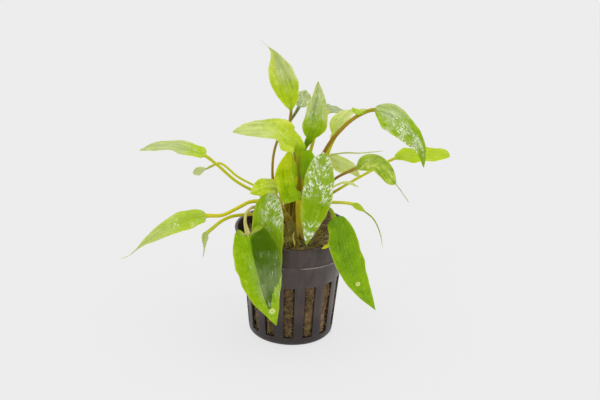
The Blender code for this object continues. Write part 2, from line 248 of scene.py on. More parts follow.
def plug(socket, value):
    """Wire a socket to an earlier one, or give it a plain value."""
    if isinstance(value, Wire):
        socket.id_data.links.new(value.socket, socket)
    else:
        socket.default_value = value


def held(socket):
    """A socket as a wire, or as an arrow if it carries a vector."""
    return Arrow(socket) if socket.type == "VECTOR" else Wire(socket)


def wire(tree, kind, values=(), get=0, **settings):
    """Add a node and return its output, or several outputs if get is a tuple."""
    node = tree.nodes.new(kind)
    for name, value in settings.items():
        setattr(node, name, value)
    for key, value in dict(values).items():
        if isinstance(key, str):
            key = next(i for i, socket in enumerate(node.inputs) if socket.name == key and socket.enabled)
        plug(node.inputs[key], value)
    if isinstance(get, tuple):
        return tuple(held(node.outputs[key]) for key in get)
    return held(node.outputs[get])


def step(operation, *values):
    """One arithmetic step."""
    return wire(tree_of(*values), "ShaderNodeMath", enumerate(values), operation=operation)


def arrow(operation, first, second):
    """One step with vectors; SCALE takes a vector and a number."""
    values = {0: first, 3 if operation == "SCALE" else 1: second}
    return wire(tree_of(first), "ShaderNodeVectorMath", values, operation=operation)


def join(x=0.0, y=0.0, z=0.0):
    """A vector from three numbers."""
    return wire(tree_of(x, y, z), "ShaderNodeCombineXYZ", enumerate((x, y, z)))


def split(vector):
    """The three numbers of a vector."""
    return wire(tree_of(vector), "ShaderNodeSeparateXYZ", {0: vector}, (0, 1, 2))


def pick(when, first, second):
    """first where the mask is 1, second where it is 0."""
    return when * first + (1.0 - when) * second


def spread(value, low, high, to_low=0.0, to_high=1.0):
    """to_low where the value is at low, to_high where it is at high, and a soft change between.

    low may be the larger number, which turns the change round.
    """
    values = enumerate((value, low, high, to_low, to_high))
    return wire(tree_of(value), "ShaderNodeMapRange", values, interpolation_type="SMOOTHSTEP")


def grain(place, scale, detail=3.0, roughness=0.5, distortion=0.0):
    """A cloudy pattern, 0 to 1; scale is in patches to a metre."""
    names = ("Vector", "Scale", "Detail", "Roughness", "Distortion")
    values = dict(zip(names, (place, scale, detail, roughness, distortion)))
    return wire(tree_of(place), "ShaderNodeTexNoise", values, "Fac")


def blend(share, first, second):
    """A colour between two others: the first where the share is 0, the second where it is 1."""
    values = {0: share, 6: first, 7: second}
    return wire(tree_of(share, first, second), "ShaderNodeMix", values, 2, data_type="RGBA")


def colour(red, green, blue):
    """A screen colour, 0 to 255, as the linear colour that a node takes; the curve is a screen's."""
    parts = [((v / 255 + 0.055) / 1.055) ** 2.4 if v > 10 else v / 255 / 12.92 for v in (red, green, blue)]
    return (*parts, 1)


print("kinds of socket:", ", ".join(SOCKETS))

# %% [markdown]
# ## Groups and materials
#
# A tree that is used more than once is a node group with named inputs and outputs. Each place that
# uses it gives the inputs its own values.

# %% Groups
def new_group(name, kind, inputs, outputs):
    """A node group; returns the tree, its inputs as wires by name, and its output sockets."""
    tree = bpy.data.node_groups.new(name, kind)
    for direction, sockets in (("INPUT", inputs), ("OUTPUT", outputs)):
        for sort, labels in sockets.items():
            for label in labels.split(", "):
                tree.interface.new_socket(name=label, in_out=direction, socket_type=SOCKETS[sort])
    entry = tree.nodes.new("NodeGroupInput").outputs
    leave = tree.nodes.new("NodeGroupOutput").inputs
    return tree, {socket.name: held(socket) for socket in entry if socket.name}, leave


def use_group(tree, group, values):
    """Place a shader group in a tree and return its outputs as wires by name."""
    node = tree.nodes.new("ShaderNodeGroup")
    node.node_tree = group
    for name, value in values.items():
        plug(node.inputs[name], value)
    return {socket.name: held(socket) for socket in node.outputs}


def new_material(name):
    """A material with its tree, the inputs of its Principled shader and its Object coordinates."""
    material = bpy.data.materials.new(name)
    material.use_nodes = True
    tree = material.node_tree
    place = wire(tree, "ShaderNodeTexCoord", get="Object")
    return material, tree, tree.nodes["Principled BSDF"].inputs, place


def relief(shader, height, depth):
    """Turn a height, 0 to 1, into bumps of a depth in metres."""
    bump = wire(tree_of(height), "ShaderNodeBump", {"Height": height, "Distance": depth, "Strength": 1.0})
    plug(shader["Normal"], bump)


def end_tree(leave, geometry, material):
    """End a geometry tree: its instances are made real, and all of it gets the material."""
    tree = geometry.socket.id_data
    whole = wire(tree, "GeometryNodeRealizeInstances", {0: geometry})
    plug(leave[0], wire(tree, "GeometryNodeSetMaterial", {0: whole, "Material": material}))
    print(f"{tree.name} tree:", len(tree.nodes), "nodes")


def end_group(group, leave, **values):
    """End a shader group: each value goes to the output of its name."""
    for name, value in values.items():
        plug(leave[name], value)
    print(f"{group.name} group:", len(group.nodes), "nodes")


# %% [markdown]
# ## From a tree to a plain mesh
#
# A Geometry Nodes modifier works on a helper object. Its result is copied into a plain mesh, so
# that the finished piece carries no modifier, sits at the origin and can be exported as it is.

# %% Pieces
def helper(name, points, faces=(), **attributes):
    """A helper object; each attribute gives one number or vector for each point."""
    mesh = bpy.data.meshes.new(name)
    mesh.from_pydata(points, [], faces)
    for label, data in attributes.items():
        is_number = isinstance(data[0], (int, float))
        layer = mesh.attributes.new(label, "FLOAT" if is_number else "FLOAT_VECTOR", "POINT")
        flat = data if is_number else [part for item in data for part in item]
        layer.data.foreach_set("value" if is_number else "vector", flat)
    item = bpy.data.objects.new(name, mesh)
    scene.collection.objects.link(item)
    return item


def apply_tree(item, tree, **values):
    """Put a geometry tree on an object; a value's name is its input's, with _ for spaces."""
    modifier = item.modifiers.new(tree.name, "NODES")
    modifier.node_group = tree
    for socket in tree.interface.items_tree:
        label = socket.name.replace(" ", "_").lower()
        if socket.in_out == "INPUT" and label in values:
            modifier[socket.identifier] = values[label]


def ring_faces(rows, count):
    """Faces between rows of points that each close into a ring."""
    faces = []
    for row in range(rows - 1):
        for i in range(count):
            j = (i + 1) % count
            low, high = row * count, (row + 1) * count
            faces.append((low + i, low + j, high + j, high + i))
    return faces


def enclosed(mesh):
    """Volume inside a mesh, below zero if its faces point inwards."""
    mesh.calc_loop_triangles()
    total = 0.0
    for triangle in mesh.loop_triangles:
        a, b, c = (mesh.vertices[i].co for i in triangle.vertices)
        total += a.dot(b.cross(c)) / 6
    return total


def finish_piece(item, name, node=None, sharp=None):
    """Turn a helper and its modifiers into a plain piece; edges past sharp degrees stay crisp."""
    plain = item.evaluated_get(bpy.context.evaluated_depsgraph_get())
    mesh = bpy.data.meshes.new_from_object(plain)
    mesh.name = name
    bpy.data.objects.remove(item, do_unlink=True)
    if enclosed(mesh) < 0:
        mesh.flip_normals()
    mesh.shade_smooth()
    if sharp:
        mesh.set_sharp_from_angle(angle=radians(sharp))
    piece = bpy.data.objects.new(name, mesh)
    scene.collection.objects.link(piece)
    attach(piece, "root")
    if node:
        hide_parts(node)
    mesh.calc_loop_triangles()
    print(f"{name}: {len(mesh.loop_triangles)} triangles, {enclosed(mesh) / MM**3:.0f} mm3")
    return piece


print("faces between two rings of 12 points:", len(ring_faces(2, 12)))

# %% [markdown]
# ## Shared finish: stains
#
# The pot, the wool and the rootstock all carry the same patchy film of mud and dried water. It
# could be painted three times, but one shader group makes it, and each material places the group
# with its own colours and amount.

# %% Stain group
stains, entry, leave = new_group(
    "stains", "ShaderNodeTree",
    {"vector": "Place", "colour": "Colour, Stain", "number": "Amount, Patches per metre"},
    {"colour": "Colour", "number": "Mask"},
)
clouds = grain(entry["Place"], entry["Patches per metre"], 5.0, 0.65)
mask = spread(clouds, 0.48, 0.72) * entry["Amount"]
end_group(stains, leave, Colour=blend(mask, entry["Colour"], entry["Stain"]), Mask=mask)

# %% [markdown]
# ## The net pot
#
# A net pot is one thin plastic moulding: a plain collar above, and a wall of tall slots below that
# lets the roots out. Drawing one bay by hand and copying it would work, but a rule is shorter: a
# sheet is wrapped round the pot's outline, the faces that lie in a slot are taken out, and the
# sheet gets its thickness and its rounded edges afterwards.

# %% Outline of the pot
POT_HEIGHT = 52 * MM
RIM_RADIUS = 27.0 * MM
COLLAR_HEIGHT = 42 * MM
COLLAR_RADIUS = 25.1 * MM
STEP = 0.5 * MM
BEAD = 0.22 * MM
SLOT_TOP = 31 * MM
SLOT_TOP_RADIUS = 22.4 * MM
SLOT_BOTTOM = 4.5 * MM
BASE_RADIUS = 19.8 * MM
BASE_ROUND = 2.4 * MM
WALL = 1.3 * MM
SLOT_COUNT = 14
SLOT_WIDTH = 5.1 * MM
SLOT_TURN = radians(-92.2)
FLOOR_SLOT_START = 6 * MM
FLOOR_SLOT_END = 15 * MM
FLOOR_EDGE = 16.5 * MM
FLOOR_STEP = 3 * MM
ROW_STEP = 2 * MM


def wall_radius(z):
    """Radius of the pot's outer wall at height z."""
    if z < SLOT_TOP:
        share = max(z - BASE_ROUND, 0) / (SLOT_TOP - BASE_ROUND)
        return BASE_RADIUS + share * (SLOT_TOP_RADIUS - BASE_RADIUS)
    if z < COLLAR_HEIGHT:
        share = (z - SLOT_TOP) / (COLLAR_HEIGHT - SLOT_TOP)
        return SLOT_TOP_RADIUS + share * (COLLAR_RADIUS - STEP - SLOT_TOP_RADIUS)
    share = (z - COLLAR_HEIGHT) / (POT_HEIGHT - COLLAR_HEIGHT)
    return COLLAR_RADIUS + share * (RIM_RADIUS - COLLAR_RADIUS)


def evenly(start, end, size):
    """Numbers from start up to, but not with, end, at most a size apart."""
    count = max(1, ceil((end - start) / size))
    return [start + (end - start) * i / count for i in range(count)]


def wall_rows(start, end):
    """Points of the pot's wall between two heights."""
    return [(wall_radius(z), z) for z in evenly(start, end, ROW_STEP)]


floor_radii = evenly(0, FLOOR_SLOT_START, FLOOR_STEP) + evenly(FLOOR_SLOT_START, FLOOR_SLOT_END, FLOOR_STEP)
pot_outline = [(radius, 0) for radius in floor_radii + [FLOOR_SLOT_END, FLOOR_EDGE]]
for turn in evenly(0, pi / 2, pi / 10):
    across, down = BASE_ROUND * sin(turn), BASE_ROUND * cos(turn)
    pot_outline.append((BASE_RADIUS - BASE_ROUND + across, BASE_ROUND - down))
pot_outline += wall_rows(BASE_ROUND, SLOT_BOTTOM) + wall_rows(SLOT_BOTTOM, SLOT_TOP)
pot_outline += wall_rows(SLOT_TOP, COLLAR_HEIGHT - STEP)
# The collar steps out over the slotted wall and begins with a small bead
for out, up in ((-STEP, -1), (-0.3 * STEP, -0.5), (BEAD, 0.3), (BEAD, 0.9), (0.1 * MM, 1.8)):
    pot_outline.append((COLLAR_RADIUS + out, COLLAR_HEIGHT + up * STEP))
pot_outline += wall_rows(COLLAR_HEIGHT + ROW_STEP, POT_HEIGHT) + [(RIM_RADIUS, POT_HEIGHT)]
print("points in the pot's outline:", len(pot_outline))

# %% The tree that wraps a slotted wall
wrap, entry, leave = new_group(
    "slotted wall", "GeometryNodeTree",
    {
        "geometry": "Outline",
        "whole": "Slot count, Slot faces, Bar faces",
        "number": "Slot angle, First turn, Slot bottom, Slot top, Floor slot start, Floor slot end",
        "material": "Material",
    },
    {"geometry": "Geometry"},
)
rows = wire(wrap, "GeometryNodeAttributeDomainSize", {0: entry["Outline"]})
bay = entry["Slot faces"] + entry["Bar faces"]
columns = entry["Slot count"] * bay

# A grid has a column of points for each angle; each takes its radius and height from the outline
grid = wire(wrap, "GeometryNodeMeshGrid", {"Vertices X": columns + 1, "Vertices Y": rows})
number = wire(wrap, "GeometryNodeInputIndex")
position = wire(wrap, "GeometryNodeInputPosition")
column = step("FLOOR", number / rows)
values = {"Geometry": entry["Outline"], "Value": position, "Index": number % rows}
radius, _, height = split(wire(wrap, "GeometryNodeSampleIndex", values, data_type="FLOAT_VECTOR"))

# The columns of a bay stand closer over the slot or over the bar, whichever is narrower
whole_turn = 2 * pi / entry["Slot count"]
in_bay = column % bay
in_slot = step("MINIMUM", in_bay / entry["Slot faces"], 1.0)
in_bar = step("MAXIMUM", (in_bay - entry["Slot faces"]) / entry["Bar faces"], 0.0)
turn = step("FLOOR", column / bay) * whole_turn + entry["First turn"] + (in_slot - 0.5) * entry["Slot angle"]
turn = turn + in_bar * (whole_turn - entry["Slot angle"])
wrapped = join(radius * step("COSINE", turn), radius * step("SINE", turn), height)
sheet = wire(wrap, "GeometryNodeSetPosition", {"Geometry": grid, "Position": wrapped})

# The faces of the side slots are taken out, and those of every other slot in the floor
face_column = step("FLOOR", number / (rows - 1.0))
slot_column = (face_column % bay) < (entry["Slot faces"] - 0.5)
x, y, z = split(position)
side_slot = (z > entry["Slot bottom"]) * (z < entry["Slot top"]) * slot_column
reach = step("SQRT", x * x + y * y)
every_other = step("FLOOR", face_column / bay) % 2.0
floor_slot = (reach > entry["Floor slot start"]) * (reach < entry["Floor slot end"]) * (z < 0.1 * MM)
opened = side_slot + floor_slot * slot_column * every_other
cut = wire(wrap, "GeometryNodeDeleteGeometry", {"Geometry": sheet, "Selection": opened}, domain="FACE")
welded = wire(wrap, "GeometryNodeMergeByDistance", {"Geometry": cut, "Distance": 0.01 * MM})
end_tree(leave, welded, entry["Material"])

# %% [markdown]
# The plastic is a brownish black with a soft sheen. Moulding leaves a fine grain that is drawn
# down the wall, and a painted highlight, a pale line broken in places, runs along the ridge at the
# collar's lower edge. Towards the foot the plastic is nearly black and dull, with faint mud at the
# bottom, and inside the pot its wall is painted near black as painted shade. All of this follows
# the height and the distance from the axis, so the finish needs no painted picture.

# %% Pot plastic
# Heights at which the finish changes
FOOT_DARK_BELOW = 9 * MM
FOOT_PLAIN_ABOVE = 18 * MM
MUD_TOP = 14 * MM
RIDGE_HEIGHT = COLLAR_HEIGHT + 0.3 * STEP

plastic, tree, shader, place = new_material("net_pot_plastic")
film = use_group(tree, stains, {
    "Place": place, "Colour": colour(54, 37, 32), "Stain": colour(78, 60, 49), "Amount": 0.5,
    "Patches per metre": 160.0,
})
x, y, z = split(place)
# Towards the foot the colour darkens to nearly black and the sheen fades
dark_foot = spread(z, FOOT_PLAIN_ABOVE, FOOT_DARK_BELOW)
mud = spread(z, MUD_TOP, 0.0) * spread(grain(place, 900.0, 4.0, 0.7), 0.5, 0.75)
shown = blend(dark_foot * 0.75, film["Colour"], colour(20, 13, 9))
shown = blend(mud * 0.25, shown, colour(120, 104, 82))
# A painted highlight: a pale, broken line along the collar's ridge
from_ridge = step("ABSOLUTE", z - RIDGE_HEIGHT)
ridge_highlight = spread(from_ridge, 0.45 * MM, 0.15 * MM) * spread(grain(place, 300.0, 3.0), 0.3, 0.6)
shown = blend(ridge_highlight * 0.55, shown, colour(190, 184, 180))
# Inside the pot the wall is painted near black as painted shade, and its sheen is taken away
wall_here = (z - COLLAR_HEIGHT) * (RIM_RADIUS - COLLAR_RADIUS) / (POT_HEIGHT - COLLAR_HEIGHT) + COLLAR_RADIUS
inside = (step("SQRT", x * x + y * y) < wall_here - WALL / 2) * (z < POT_HEIGHT - 0.4 * MM)
plug(shader["Base Color"], blend(inside * 0.75, shown, colour(16, 12, 12)))
fine = grain(place, 2600.0, 2.0)
plug(shader["Roughness"], film["Mask"] * 0.25 + fine * 0.12 + 0.34)
drawn = wire(tree, "ShaderNodeMapping", {"Vector": place, "Scale": (1.0, 1.0, 0.08)})
sheen = spread(grain(drawn, 420.0, 2.0), 0.4, 0.6) * 0.26 + 0.16
plug(shader["Coat Weight"], sheen * (1.0 - inside) * (1.0 - dark_foot))
plug(shader["Coat Roughness"], 0.28)
relief(shader, fine + grain(drawn, 700.0, 3.0) * 0.6, depth=0.04 * MM)
print("pot plastic:", len(tree.nodes), "nodes")

# %% [markdown]
# The wrapped sheet is the pot's outside. Solidify gives it a wall that grows inwards, and Bevel
# rounds the edges of the slots and the rim, because a moulded edge is never quite sharp and a
# rounded one catches the light. Cutting the slots from a solid pot would be slower, and the cut
# edges would be hard to round.

# %% Build the pot
EDGE_ROUND = 0.22 * MM
ROUND_ANGLE = 40
CRISP_ANGLE = 38

item = helper("pot_outline", [(r, 0, z) for r, z in pot_outline])
apply_tree(
    item, wrap, slot_count=SLOT_COUNT, slot_faces=5, bar_faces=5, slot_angle=SLOT_WIDTH / SLOT_TOP_RADIUS,
    first_turn=SLOT_TURN, slot_bottom=SLOT_BOTTOM, slot_top=SLOT_TOP, floor_slot_start=FLOOR_SLOT_START,
    floor_slot_end=FLOOR_SLOT_END, material=plastic,
)
wall = item.modifiers.new("wall", "SOLIDIFY")
wall.thickness = WALL
wall.offset = -1
wall.use_even_offset = True
edges = item.modifiers.new("edges", "BEVEL")
edges.width = EDGE_ROUND
edges.segments = 2
edges.limit_method = "ANGLE"
edges.angle_limit = radians(ROUND_ANGLE)
finish_piece(item, "slotted_pot", "net_pot", sharp=CRISP_ANGLE)

# %% [markdown]
# ## The rockwool
#
# Rockwool is a plug of mineral fibres, brown with peat and algae. Its body is a lumpy turned form
# that swells a little into the slots and leaves a pit for the rootstock. Smooth lumps alone look
# like clay, so a second step scatters thousands of short bent fibres over the parts that can be
# seen.

# %% Body of the rockwool
WOOL_BOTTOM = 1.9 * MM
WOOL_TOP = 49.5 * MM
WOOL_SLOPE = 0.13
WOOL_CLEARANCE = 0.6 * MM
WOOL_BULGE = 0.8 * MM
WOOL_SIDES = 224
WOOL_STEP = 0.9 * MM
TOP_ROWS = 26

# The top's edge keeps this distance from the wall as it is at this height
WOOL_EDGE_GAP = 1.0 * MM
WOOL_EDGE = 47.5 * MM

# Half a slot, its soft side and how far the wool sits aside in it, as shares of a slot and its bar
HALF_SLOT = 0.27
SLOT_FADE = 0.08
SLOT_SHIFT = 0.07

# The rootstock stands a little in front of the pot's middle, in a pit
CROWN_AT = Vector((0, -1, 0)) * MM
PIT_RADIUS = 7.9 * MM
PIT_BOTTOM = 46 * MM


def polar(radius, angle, z):
    """A point given by its radius and angle round the upright axis, and its height."""
    return Vector((radius * cos(angle), radius * sin(angle), z))


def full_turn(count):
    """The angles that divide a full turn into equal parts."""
    return [2 * pi * i / count for i in range(count)]


def in_a_slot(angle):
    """1 in the middle of a slot, 0 behind a bar; in each slot the wool sits a little aside."""
    turn = (angle - SLOT_TURN) * SLOT_COUNT / (2 * pi)
    aside = turn - round(turn) + SLOT_SHIFT * sin(2.2 * round(turn) + pi)
    return min(max((HALF_SLOT - abs(aside)) / SLOT_FADE, 0), 1)


def lumps(point, size):
    """Cloudy lumps from -1 to 1, with size the distance between them in metres."""
    return noise.fractal(Vector(point) / size, 0.9, 2.1, 4)


def wool_height(x, y):
    """Height of the rockwool's top: a slope, crossing waves and cloudy lumps."""
    waves = 0.7 * MM * sin(x / (3.1 * MM) + 1) * cos(y / (4.3 * MM))
    return WOOL_TOP + WOOL_SLOPE * x + waves + 0.55 * MM * lumps((x, y, 0), 2.2 * MM)


def wool_side(angle, z):
    """A point of the wool's side: it swells into the slots and is lumpy all over."""
    radius = wall_radius(z) - WALL - WOOL_CLEARANCE
    around = polar(1, angle, 0)
    bumpy = min(lumps(around * radius + Vector((0, 0, z)), 2.6 * MM), 0.6)
    radius += WOOL_BULGE * in_a_slot(angle) + 0.5 * MM * bumpy
    return around * radius + Vector((0, 0, z))


def wool_top(angle, share):
    """A point of the wool's top, from its outer edge to the pit that the rootstock fills."""
    around = polar(1, angle, 0)
    outer = around * (wall_radius(WOOL_EDGE) - WALL - WOOL_EDGE_GAP)
    x, y, _ = outer.lerp(CROWN_AT + around * PIT_RADIUS, share)
    return Vector((x, y, wool_height(x, y)))


# Each ring holds its points and how open to view they are: bottom, side, top, then the pit
angles = full_turn(WOOL_SIDES)
rings = [[(polar(radius, a, WOOL_BOTTOM), 0.0) for a in angles] for radius in (0, 7 * MM, 14 * MM)]
for z in evenly(WOOL_BOTTOM + 1.4 * MM, SLOT_TOP + 2 * MM, WOOL_STEP):
    rings.append([(wool_side(a, z), in_a_slot(a)) for a in angles])
for share in evenly(0.0, 1.0, 1 / TOP_ROWS):
    rings.append([(wool_top(a, share), 1.0) for a in angles])
for radius, z in ((PIT_RADIUS, 49 * MM), (PIT_RADIUS, PIT_BOTTOM), (0.0, PIT_BOTTOM)):
    rings.append([(CROWN_AT + polar(radius, a, z), 0.0) for a in angles])
wool_points = [point for ring in rings for point, shown in ring]
wool_open = [shown for ring in rings for point, shown in ring]
wool_faces = ring_faces(len(rings), WOOL_SIDES)
print("rockwool body:", len(wool_faces), "faces")

# %% [markdown]
# The fibres are one curve each: a short line, bent by a cloudy pattern and given a thin section of
# three sides, which is round enough for a hair. Each takes a random shade, so some strands shine
# golden among the brown ones. A hair system would also grow them, but a tree gives plain tubes at
# once. It serves again for the fine remains of old sheaths on the rootstock.

# %% The tree that scatters fibres
scatter, entry, leave = new_group(
    "scattered fibres", "GeometryNodeTree",
    {
        "geometry": "Body", "number": "Per square metre, Length, Thickness, Bend, Lift, Lean, Turn",
        "whole": "Seed", "material": "Material",
    },
    {"geometry": "Geometry"},
)


def chance(seed, low=0.0, high=1.0):
    """A random number for each point; each draw has a seed of its own."""
    values = {"Min": low, "Max": high, "Seed": seed}
    return wire(scatter, "FunctionNodeRandomValue", values, 1, data_type="FLOAT")


shown = wire(scatter, "GeometryNodeInputNamedAttribute", {"Name": "open"}, data_type="FLOAT")
values = {"Mesh": entry["Body"], "Density": shown * entry["Per square metre"], "Seed": entry["Seed"]}
spots, facing = wire(scatter, "GeometryNodeDistributePointsOnFaces", values, ("Points", "Rotation"))
values = {"Geometry": spots, "Name": "shade", "Value": chance(1)}
spots = wire(scatter, "GeometryNodeStoreNamedAttribute", values, data_type="FLOAT")
values = {"Start": (-0.5, 0.0, 0.0), "End": (0.5, 0.0, 0.0)}
line = wire(scatter, "GeometryNodeCurvePrimitiveLine", values)
line = wire(scatter, "GeometryNodeResampleCurve", {"Curve": line, "Count": 6})
lying = join(0.0, chance(2, -1.0) * entry["Lift"], entry["Lean"] + (chance(3) - 0.5) * entry["Turn"])
lying = wire(scatter, "FunctionNodeEulerToRotation", {0: lying})
facing = wire(scatter, "FunctionNodeRotateRotation", {0: facing, 1: lying}, rotation_space="LOCAL")
size = chance(4, 0.5, 1.4) * entry["Length"]
values = {"Points": spots, "Instance": line, "Rotation": facing, "Scale": size}
loose = wire(scatter, "GeometryNodeInstanceOnPoints", values)
loose = wire(scatter, "GeometryNodeRealizeInstances", {0: loose})
place = wire(scatter, "GeometryNodeInputPosition")
sway = wire(scatter, "ShaderNodeTexNoise", {"Vector": place, "Scale": 420.0, "Detail": 1.0}, "Color")
sway = (Arrow(sway.socket) - (0.5, 0.5, 0.5)) * entry["Bend"]
bent = wire(scatter, "GeometryNodeSetPosition", {"Geometry": loose, "Offset": sway})
hoop = wire(scatter, "GeometryNodeCurvePrimitiveCircle", {"Resolution": 3, "Radius": entry["Thickness"]})
values = {"Curve": bent, "Profile Curve": hoop, "Fill Caps": True}
tubes = wire(scatter, "GeometryNodeCurveToMesh", values)
end_tree(leave, tubes, entry["Material"])

# %% [markdown]
# Peat and algae make the wool brown and mottled. Where little of it is seen, behind the bars and at
# the sides of the slots, it is painted dark as painted shade. In the slots it is redder than on top,
# with pale patches, and paler towards the right. Strands take the same finish, but each has one
# shade along its whole length.

# %% Rockwool finishes
# The redder brown comes in between two heights, and the pale patches between two places on X
SLOT_BROWN_ABOVE = 45 * MM
SLOT_BROWN_BELOW = 40 * MM
PALER_FROM = 5 * MM
PALER_TO = 16 * MM


def fibre_finish(name, dark, light, stain, own_shades=False):
    """Brown fibre: a mottled body, or strands that each have a shade of their own."""
    material, tree, shader, place = new_material(name)
    fine = grain(place, 1700.0, 3.0, 0.7, 1.5)
    mixed = fine * 0.55 + grain(place, 380.0, 4.0, 0.7) * 0.45
    share = spread(mixed, 0.47, 0.62)
    if own_shades:
        share = wire(tree, "ShaderNodeAttribute", get="Fac", attribute_name="shade") ** 1.7
    film = use_group(tree, stains, {
        "Place": place, "Colour": blend(share, dark, light), "Stain": stain, "Amount": 0.7,
        "Patches per metre": 230.0,
    })
    x, _, z = split(place)
    below = spread(z, SLOT_BROWN_ABOVE, SLOT_BROWN_BELOW)
    shown = blend(below * 0.5, film["Colour"], colour(74, 48, 26))
    # Pale patches at random, and paler towards the right, in the slots
    paler = spread(grain(place, 130.0, 2.0), 0.52, 0.66) * 0.3 + spread(x, PALER_FROM, PALER_TO) * 0.45
    shown = blend(below * paler, shown, colour(180, 142, 102))
    # Painted shade: where little of the wool is seen, behind the bars and at the slots' sides, it is dark
    if not own_shades:
        near = wire(tree, "ShaderNodeAttribute", get="Fac", attribute_name="open")
        shown = blend(spread(near, 0.8, 0.1) * 0.85, shown, colour(22, 17, 13))
    plug(shader["Base Color"], shown)
    plug(shader["Roughness"], fine * 0.3 + 0.55)
    relief(shader, mixed, depth=0.9 * MM)
    return material


PEAT = colour(44, 34, 20)
wool_brown = fibre_finish("rockwool_body", colour(78, 59, 33), colour(190, 154, 84), PEAT)
strand_tan = fibre_finish(
    "rockwool_strands", colour(112, 90, 40), colour(250, 230, 140), PEAT, own_shades=True
)
print("rockwool finishes:", wool_brown.name, strand_tan.name)

# %% [markdown]
# The body and its strands are two pieces made from one surface. The value called open says how
# much of the wool is seen there, so the strands grow in the slots and on top, and none are spent
# behind the bars.

# %% Build the rockwool
item = helper("wool_body", wool_points, wool_faces, open=wool_open)
item.data.materials.append(wool_brown)
finish_piece(item, "wool_plug", "rockwool")

item = helper("wool_strands", wool_points, wool_faces, open=wool_open)
apply_tree(
    item, scatter, per_square_metre=0.95e6, length=4.4 * MM, thickness=0.11 * MM, bend=2.6 * MM,
    lift=0.16, lean=0.0, turn=2 * pi, seed=7, material=strand_tan,
)
finish_piece(item, "wool_fibres")

# %% [markdown]
# ## The rootstock
#
# All leaves grow from one short upright stem, wrapped in the brown remains of old leaf sheaths. It
# is a low dome with ribs that run up to its top. A sculpted lump would do as well, but the stalks
# have to stand on it, and a rule for its height tells each of them where.

# %% Shape of the rootstock
CROWN_TOP = 56 * MM
# How fast the dome falls: 0.09 mm at 1 mm from its axis, and four times that at 2 mm
CROWN_FALL = 0.09 / MM
CROWN_RADIUS = 7.6 * MM
CROWN_BOTTOM = 44 * MM
CROWN_SIDES = 96
RIB_COUNT = 19
RIB_DEPTH = 0.18 * MM


def crown_height(radius):
    """Height of the dome at a distance from its axis."""
    return CROWN_TOP - CROWN_FALL * radius**2


def crown_point(angle, radius):
    """A point of the dome, with ribs that fade out towards its top."""
    spot = CROWN_AT + polar(radius, angle, crown_height(radius))
    ribs = RIB_DEPTH * sin(RIB_COUNT * angle + 2 * lumps(spot, 4 * MM)) * min(radius / (3 * MM), 1)
    return spot + Vector((0, 0, ribs - 0.25 * MM + 0.3 * MM * lumps(spot, 1.2 * MM)))


angles = full_turn(CROWN_SIDES)
dome_radii = evenly(0.0, CROWN_RADIUS, 0.4 * MM) + [CROWN_RADIUS]
rings = [[crown_point(a, radius) for a in angles] for radius in dome_radii]
for share, z in ((0.98, 50 * MM), (0.95, 47 * MM), (0.9, CROWN_BOTTOM), (0.0, CROWN_BOTTOM)):
    rings.append([CROWN_AT + polar(share * CROWN_RADIUS, a, z) for a in angles])
crown_points = [point for ring in rings for point in ring]
crown_faces = ring_faces(len(rings), CROWN_SIDES)
print("rootstock:", len(crown_faces), "faces")

# %% [markdown]
# The bark is tan with streaks that run up the stem, so its pattern is stretched along the height.

# %% Build the rootstock
bark, tree, shader, place = new_material("rootstock_bark")
drawn = wire(tree, "ShaderNodeMapping", {"Vector": place, "Scale": (1.0, 1.0, 0.2)})
streaks = grain(drawn, 900.0, 4.0, 0.6)
film = use_group(tree, stains, {
    "Place": place, "Colour": blend(spread(streaks, 0.35, 0.65), colour(130, 110, 30), colour(196, 176, 70)),
    "Stain": colour(96, 68, 24), "Amount": 0.5, "Patches per metre": 320.0,
})
plug(shader["Base Color"], film["Colour"])
plug(shader["Roughness"], streaks * 0.3 + 0.4)
relief(shader, streaks, depth=0.3 * MM)
item = helper("crown_body", crown_points, crown_faces)
item.data.materials.append(bark)
finish_piece(item, "rootstock", "crown")

# %% [markdown]
# Old sheaths rot down to pale golden shreds that hang round the stem and out over the rockwool.
# The fibre tree lays them on a skirt, a helper surface that isn't kept: its radii and heights, in
# millimetres, follow the slope that the shreds lie on, and lean turns them to run down it.

# %% Remains of old sheaths
SKIRT = ((2.0, 58.5), (5.4, 57.0), (7.8, 54.6), (9.8, 52.6), (13.5, 50.6))

sheath_gold = fibre_finish(
    "sheath_remains", colour(176, 148, 16), colour(255, 248, 150), colour(140, 112, 14), own_shades=True
)
skirt_points = [CROWN_AT + polar(radius * MM, a, z * MM) for radius, z in SKIRT for a in angles]
item = helper("skirt", skirt_points, ring_faces(len(SKIRT), CROWN_SIDES), open=[1.0] * len(skirt_points))
apply_tree(
    item, scatter, per_square_metre=3.4e6, length=6.0 * MM, thickness=0.12 * MM, bend=1.3 * MM,
    lift=0.3, lean=pi / 2, turn=1.3, seed=3, material=sheath_gold,
)
finish_piece(item, "sheath_fibres")

# %% [markdown]
# ## How a leaf is described
#
# Each leaf is drawn by a few points in space: its foot on the rootstock, the run of its stalk and
# the run of its blade. A smooth path through them is its spine. The blade's half width follows one
# rule, round at the base and drawn out to the tip, and at every place on the spine the leaf knows
# which way its upper side faces. The leaves could be modelled one by one, but then no two would
# agree, and a rule lets each differ only where the plant does.

# %% Paths
# Distance between the rings of stalks, and how far their feet stand out of the rootstock's bark
SEAT_SPACING = 2.1 * MM
SEAT_LIFT = 0.9 * MM


def seat(ring, angle):
    """Where a stalk stands on the crown: the ring counts outwards, the angle turns from +X to +Y."""
    radius = ring * SEAT_SPACING
    return CROWN_AT + polar(radius, radians(angle), crown_height(radius) + SEAT_LIFT)


